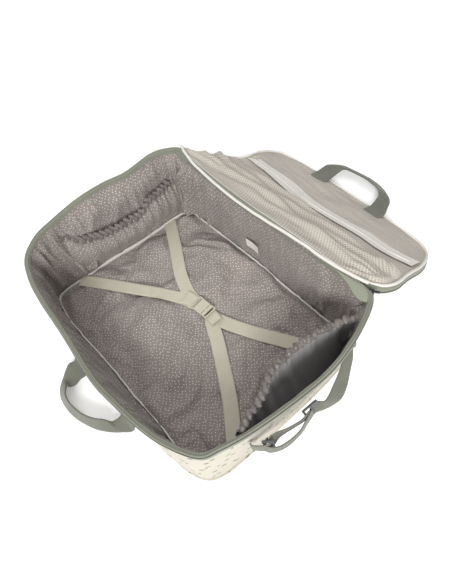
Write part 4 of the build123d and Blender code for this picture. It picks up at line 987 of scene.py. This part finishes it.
CACHE = {}
xs = np.linspace(-161, 219, 130)
nb = np.interp(xs, [-162, -132, -101, -63, -31, 1, 19, 49, 75, 112, 137, 159, 183, 206, 221], [131, 126.6, 118, 110, 104.3, 101.5, 101.4, 106.2, 110, 119, 121.3, 118, 122, 131.7, 136])
fb = np.interp(xs, [-159, -132, -103, -71, -40, -12, 22, 47, 83, 111, 135, 159, 180, 196, 222], [150.6, 149.7, 150.3, 149, 146, 138, 130, 132, 140, 139.6, 138.4, 137.2, 141, 148.5, 152])
nb = np.convolve(np.pad(nb, 5, mode="edge"), np.ones(11) / 11, "valid")
fb = np.convolve(np.pad(fb, 5, mode="edge"), np.ones(11) / 11, "valid")
_c, _h = (nb + fb) / 2, np.maximum((fb - nb) / 2, 15.0)
nb, fb = _c - _h, _c + _h
fr = np.linspace(0, 1, 11)
bx = xs[:, None] * np.ones((1, 11))
bd = nb[:, None] * (1 - fr) + fb[:, None] * fr
bandp = lid_surface(bx, bd, 2.4)
bandp[..., 2] += 0.5 * np.sin(math.pi * fr)[None, :]
mesh_band = grid("mesh_zip_tape_cloth", bandp, BIND)
cl = lid_surface(xs[3:-3], (0.62 * nb + 0.38 * fb)[3:-3], 3.3)
mesh_coil = tube("mesh_zip_coil_teeth", even(cl, 900), CREAM_COIL, r=1.2, sides=6, rvar=0.95 + 0.35 * (np.arange(900) % 2))

# lid edge: binding, padded side band, outer panel
edge_i = [(i, 0) for i in range(NU)] + [(NU - 1, j) for j in range(1, NV)] + [(i, NV - 1) for i in range(NU - 2, -1, -1)] + [(0, j) for j in range(NV - 2, 0, -1)]
EI = np.array(edge_i)
E = LM[EI[:, 0], EI[:, 1]]
EN = LN[EI[:, 0], EI[:, 1]]
ET = np.roll(E, -1, 0) - np.roll(E, 1, 0)
ET /= np.linalg.norm(ET, axis=1, keepdims=True)
EO = np.cross(ET, EN); EO /= np.linalg.norm(EO, axis=1, keepdims=True)
cen = E.mean(0)
if ((E - cen) * EO).sum(1).mean() < 0:
    EO = -EO
ne = len(E)
isnear = np.zeros(ne); isnear[:NU] = 1
k_ = np.arange(ne)
nearw = smooth(1 - np.minimum(np.abs(k_ - NU / 2) - NU / 2 + 6, 12) / 12)
nearw = np.where(k_ < NU, 1.0, 0.0)
nearw = np.convolve(np.r_[nearw[-6:], nearw, nearw[:6]], np.ones(13) / 13, "valid")
farw = np.where((k_ > NU + NV + 8) & (k_ < 2 * NU + NV - 16), 1.0, 0.0)
farw = np.convolve(np.r_[farw[-10:], farw, farw[:10]], np.ones(21) / 21, "valid")
nz = np.array([noise.noise(Vector((p[0] * 0.04, p[1] * 0.04, 3))) for p in E])
rb = (2.5 - 0.9 * farw + 0.5 * nz) * (1 - 0.8 * nearw)
TH = 12.0 + 0 * k_
rows = []
for a, w_ in [(-1.5, 0.2), (0.6, 0.2), (2.4, -1.4), (3.6, -4.0), (4.2, -7.5), (3.4, -11.0), (0.5, -13.2), (-4.0, -13.6)]:
    rows.append(E + EO * (a * (1 - 0.65 * nearw))[:, None] + EN * w_)
sb = np.stack(rows, 1)
side_band = grid("lid_side_band_cloth", sb, SAGE, closed_u=True)
lid_bind = tube("lid_binding_tape", E + EN * 1.0 + EO * 0.2, BIND, sides=10, closed=True, rvar=rb, squash=0.8)
cz = E + EO * (4.4 * (1 - 0.7 * nearw))[:, None] - EN * 8.5
sel = k_[(k_ >= NU - 4)]
lid_coil = tube("lid_zip_coil_teeth", even(cz[sel], 1500), COIL, r=1.0, sides=6, rvar=0.8 + 0.35 * (np.arange(1500) % 2))
under = LM - LN * 13.4
und = LP - LN * (13.6 + 1.5 * fbm(LP, 60.0, 6.0))[..., None]
und[:, 0] = under[:, 0]; und[:, -1] = under[:, -1]; und[0] = under[0]; und[-1] = under[-1]
und[..., 2] = np.maximum(und[..., 2], 1.2)
lid_under = grid("lid_outer_cloth", und[::2, ::2], CANVAS, flip=True)
lid_pad = grid("lid_padding", (LP - LN * 6.5)[::5, ::5], FOAM)

# patches where the lid handle is sewn, on the lid's outside
def lid_patch(name, x0, x1):
    x = np.linspace(x0, x1, 7); d = np.linspace(182, 238, 18)
    xx, dd = np.meshgrid(x, d, indexing="ij")
    p = lid_surface(xx, dd, -15.6)
    p[..., 2] = np.maximum(p[..., 2], 0.8)
    return grid(name, p, WEB)


lpat = join("lid_handle_patches_cloth", [lid_patch("lp1", -83, -47), lid_patch("lp2", 55, 91)])

# mesh pocket slider
ms = lid_surface(np.array([-158.0]), np.array([142.0]), 5.0)[0]
nx = np.array([1.0, 0, 0]); nd = np.array([0, math.cos(SL), -math.sin(SL)])
mslider = join("mesh_zip_slider", [box("m0", ms, nx, nd, (9, 7, 3.0), CREAM_PLASTIC, 1.0), box("m1", ms + np.array([0, .9, 1.6]), nx, nd, (5, 2, 2.0), CREAM_PLASTIC, 0.5)])
mpull = box("mesh_zip_pull", ms + nd * 9.0 + np.array([0, 0.4, 1.4]), nx, nd, (4.6, 13, 1.3), CREAM_PLASTIC, 0.5)

# ------------------------------------------------------------------ hinge
hl = np.stack([np.interp(np.linspace(0, 1, 300), np.linspace(0, 1, NU), near[:, 0]), np.interp(np.linspace(0, 1, 300), np.linspace(0, 1, NU), near[:, 1])], 1)
hp = lidp(hl[:, 0], hl[:, 1], 0.8)
hp = np.array([(-219.0, 182.3, 151.0), (-195, 175.5, 151.5), (-167.6, 169.9, 151.0), (-121.0, 165.8, 151.0), (-81.4, 163.2, 151.0), (-38.5, 162.8, 151.0), (-5.5, 163.6, 151.0), (25.8, 166.0, 151.0), (60.9, 169.1, 151.0),
               (82.9, 171.0, 151.0), (111.6, 172.6, 151.0), (128.1, 172.3, 151.0), (148.9, 173.2, 151.0), (168.4, 175.2, 151.0), (186.2, 178.6, 151.0), (204.2, 181.3, 151.0), (216, 184.5, 150.5)])
hp = np.vstack([[(-226, 186.5, 152.0)], hp])
hpl = even(catmull(hp, 500), 260)
hpl = hpl + np.stack([0 * hpl[:, 0], 0.5 * np.array([noise.noise(Vector((x * 0.03, 0, 5))) for x in hpl[:, 0]]), 0.5 * np.array([noise.noise(Vector((x * 0.05, 4, 5))) for x in hpl[:, 0]])], 1)
hinge_tape = tube("hinge_binding_tape", hpl, BIND, r=2.7, sides=12, squash=0.85)
# cloth strip outside the hinge, bending between bag and lid
xs_ = np.linspace(-222, 214, 120)
ytop = np.interp(xs_, hp[:, 0], hp[:, 1])
lidy = np.interp(xs_, near[:, 0], near[:, 1])
sec = []
a_ = np.stack([xs_, ytop + 0.5, np.full(120, 146.0)], 1)
b_ = np.stack([xs_, ytop + 2.5, np.full(120, 148.5)], 1)
c_ = lidp(xs_, np.maximum(lidy, 0) + 6.0, -6.0)
d_ = lidp(xs_, np.maximum(lidy, 0) + 14.0, -12.5)
for f in np.linspace(0, 1, 14):
    p = (1 - f) ** 3 * a_ + 3 * (1 - f) ** 2 * f * b_ + 3 * (1 - f) * f ** 2 * c_ + f ** 3 * d_
    sec.append(p)
hinge_cloth = grid("hinge_cloth", np.stack(sec, 1), SAGE, flip=True)

# main zip slider parked by the right end of the hinge
sp = slide(np.array([229.0, 175.0, 152.6]), -5.0)
sx = np.array([0.55, -0.83, 0.0]); sy = np.array([0.83, 0.55, 0.0])
slider = join("main_zip_slider", [box("s0", sp, sx, sy, (10, 7, 3.0), METAL, 1.1), box("s1", sp + np.array([0, 0, 2.0]), sx, sy, (5, 1.8, 2.0), METAL, 0.5)])
pull = box("main_zip_pull", sp + sy * 6.5 + np.array([0, 0, 1.2]), sx, sy, (4.2, 9, 1.2), METAL, 0.5)

# stitch lines: short raised threads along a path
def stitches(name, line, mat=STITCH, step=3.2, length=2.1, r=0.32):
    L = np.linalg.norm(np.diff(line, axis=0), axis=1).sum()
    m = max(3, int(L / step))
    c = even(line, m + 1)
    t = np.gradient(c, axis=0); t /= np.linalg.norm(t, axis=1, keepdims=True) + 1e-9
    verts, faces = [], []
    for i in range(m):
        s_ = np.cross(t[i], (0, 0, 1.0)); s_ /= np.linalg.norm(s_) + 1e-9
        n_ = np.cross(s_, t[i])
        b0 = len(verts)
        for e in (-0.5, 0.5):
            for (p_, q_) in ((1, 0), (0, 1), (-1, 0), (0, -1)):
                verts.append(c[i] + t[i] * e * length + s_ * r * p_ + n_ * r * q_)
        for k in range(4):
            faces.append([b0 + k, b0 + (k + 1) % 4, b0 + 4 + (k + 1) % 4, b0 + 4 + k])
        faces.append([b0, b0 + 1, b0 + 2, b0 + 3]); faces.append([b0 + 7, b0 + 6, b0 + 5, b0 + 4])
    return mesh_from(name, np.array(verts), np.array(faces), np.zeros((len(faces) * 4, 2)), mat)


st1 = stitches("rim_stitching", np.vstack([band[:, 6], band[:1, 6]])[::1] + np.array([0, 0, 0.35]))
st2 = stitches("lid_band_stitching", bandp[:, 2] + np.array([0, 0.1, 0.3]), BIND)
st3 = stitches("lid_band_stitching_far", bandp[:, -3] + np.array([0, 0.1, 0.3]), BIND)

# ------------------------------------------------------------------ who rides on what
RIDES = {
    "bag": [canvas, canvas_base, base_pipe, rim_band, facing, zip_coil, zip_edge, lining_walls, lining_base, seam_binding, pl_panel, pl_edge, pl_wrong,
            pr_panel, pr_edge, pr_wrong, label, s_lf, s_lr, s_rf, s_rr, y_l, y_r, clip_f, fp, hinge_tape, st1],
    "buckle_male": [clip_m, tail],
    "front_handle": [],
    "end_strap": [end_loop, ring],
    "tri_glide": [glide],
    "lid": [side_band, lid_bind, lid_coil, lid_under, lid_pad, mesh_band, mesh_coil, lpat, st2, st3],
    "mesh_slider": [mslider],
    "mesh_pull": [mpull],
    "zip_slider": [slider],
    "zip_pull": [pull],
}
for body, obs in RIDES.items():
    for o in obs:
        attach(o, body)
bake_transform(front_handle)
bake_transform(lid_handle)
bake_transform(end_upper)
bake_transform(tabo)
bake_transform(hinge_cloth)
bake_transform(lid_mesh)

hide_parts("outer_front_wall", "outer_back_wall", "outer_left_wall", "outer_right_wall")
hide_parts("outer_base")
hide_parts("lining_front_wall", "lining_back_wall", "lining_left_wall", "lining_right_wall")
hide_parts("lining_base", "base_board")
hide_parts("base_seam_binding")
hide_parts("rim_band")
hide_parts("body_zip_tape")
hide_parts("body_zip_coil")
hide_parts("hinge_piping")
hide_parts("zip_slider")
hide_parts("zip_pull")
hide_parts("pocket_left_panel")
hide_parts("pocket_left_elastic")
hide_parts("pocket_right_panel")
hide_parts("pocket_right_elastic")
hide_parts("care_label")
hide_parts("packing_strap_left_front")
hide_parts("packing_strap_left_rear")
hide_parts("packing_strap_right_front")
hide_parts("packing_strap_right_rear")
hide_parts("strap_yoke_left")
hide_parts("strap_yoke_right")
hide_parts("buckle_female")
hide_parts("buckle_male")
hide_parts("buckle_tail")
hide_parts("front_handle")
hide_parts("front_handle_patches")
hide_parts("end_strap_tab")
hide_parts("end_strap_upper", "end_strap_anchor")
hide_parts("end_strap_loop")
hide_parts("strap_ring")
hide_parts("tri_glide")
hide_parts("lid_side_band", "lid_zip_tape")
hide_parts("lid_outer_panel")
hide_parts("lid_foam")
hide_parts("lid_lining", "lid_mesh_rear", "lid_mesh_front")
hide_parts("mesh_zip_tape")
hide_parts("mesh_zip_coil")
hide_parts("mesh_slider")
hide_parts("mesh_pull")
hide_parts("lid_binding")
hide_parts("lid_zip_coil")
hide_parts("lid_handle_patches")
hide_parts("lid_handle")


def area_of(o):
    return sum(p.area for p in o.data.polygons)


# ------------------------------------------------------------------ floor, light, camera
bpy.ops.mesh.primitive_plane_add(size=12, location=(0, 0, -0.0005))
floor = bpy.context.object
floor.name = "floor"
fm, nt, b = new_mat("floor_paper", (0.92, 0.92, 0.92), 0.9)
b.inputs["Specular IOR Level"].default_value = 0.1
b.inputs["Emission Color"].default_value = (1, 1, 1, 1)
b.inputs["Emission Strength"].default_value = 0.22
floor.data.materials.append(fm)

sc = bpy.context.scene
sc.view_settings.view_transform = "Standard"
sc.view_settings.exposure = 0.0
world = bpy.data.worlds.new("studio")
sc.world = world
world.use_nodes = True
world.node_tree.nodes["Background"].inputs[0].default_value = (1.0, 1.0, 1.0, 1)
world.node_tree.nodes["Background"].inputs[1].default_value = 0.52


def area(name, loc, target, size, power, color=(1, 1, 1)):
    l = bpy.data.lights.new(name, "AREA")
    l.shape = "RECTANGLE"; l.size, l.size_y = size
    l.energy = power; l.color = color
    o = bpy.data.objects.new(name, l)
    o.location = loc
    o.rotation_mode = "QUATERNION"
    o.rotation_quaternion = (Vector(target) - Vector(loc)).to_track_quat("-Z", "Y")
    sc.collection.objects.link(o)
    return o


area("key", (1.65, -1.15, 1.50), (0, 0, 0), (0.8, 0.8), 54)
area("fill", (-1.7, -0.3, 1.9), (0, 0, 0), (1.2, 1.2), 14)
area("top", (0.3, 0.4, 2.6), (0, 0, 0), (2.0, 2.0), 16)

cd = bpy.data.cameras.new("camera")
cam = bpy.data.objects.new("camera", cd)
sc.collection.objects.link(cam)
cd.sensor_fit = "VERTICAL"
cd.sensor_height = 36.0
cd.sensor_width = 36.0
cd.lens = 467.28 / 584 * 36
cd.shift_x = (226 - 214.15) / 584
cd.shift_y = (300.10 - 292) / 584
cd.clip_start, cd.clip_end = 0.01, 50
right_ = Vector((0.6314185, 0.7585761, -0.1608509)); down_ = Vector((0.5973058, -0.6080695, -0.5229505)); fwd_ = Vector((-0.4945063, 0.2341235, -0.8370482))
from mathutils import Matrix
rot = Matrix((right_, -down_, -fwd_)).transposed()
cam.rotation_mode = "QUATERNION"
cam.rotation_quaternion = rot.to_quaternion()
cam.location = Vector(CAM) * 0.001
sc.camera = cam
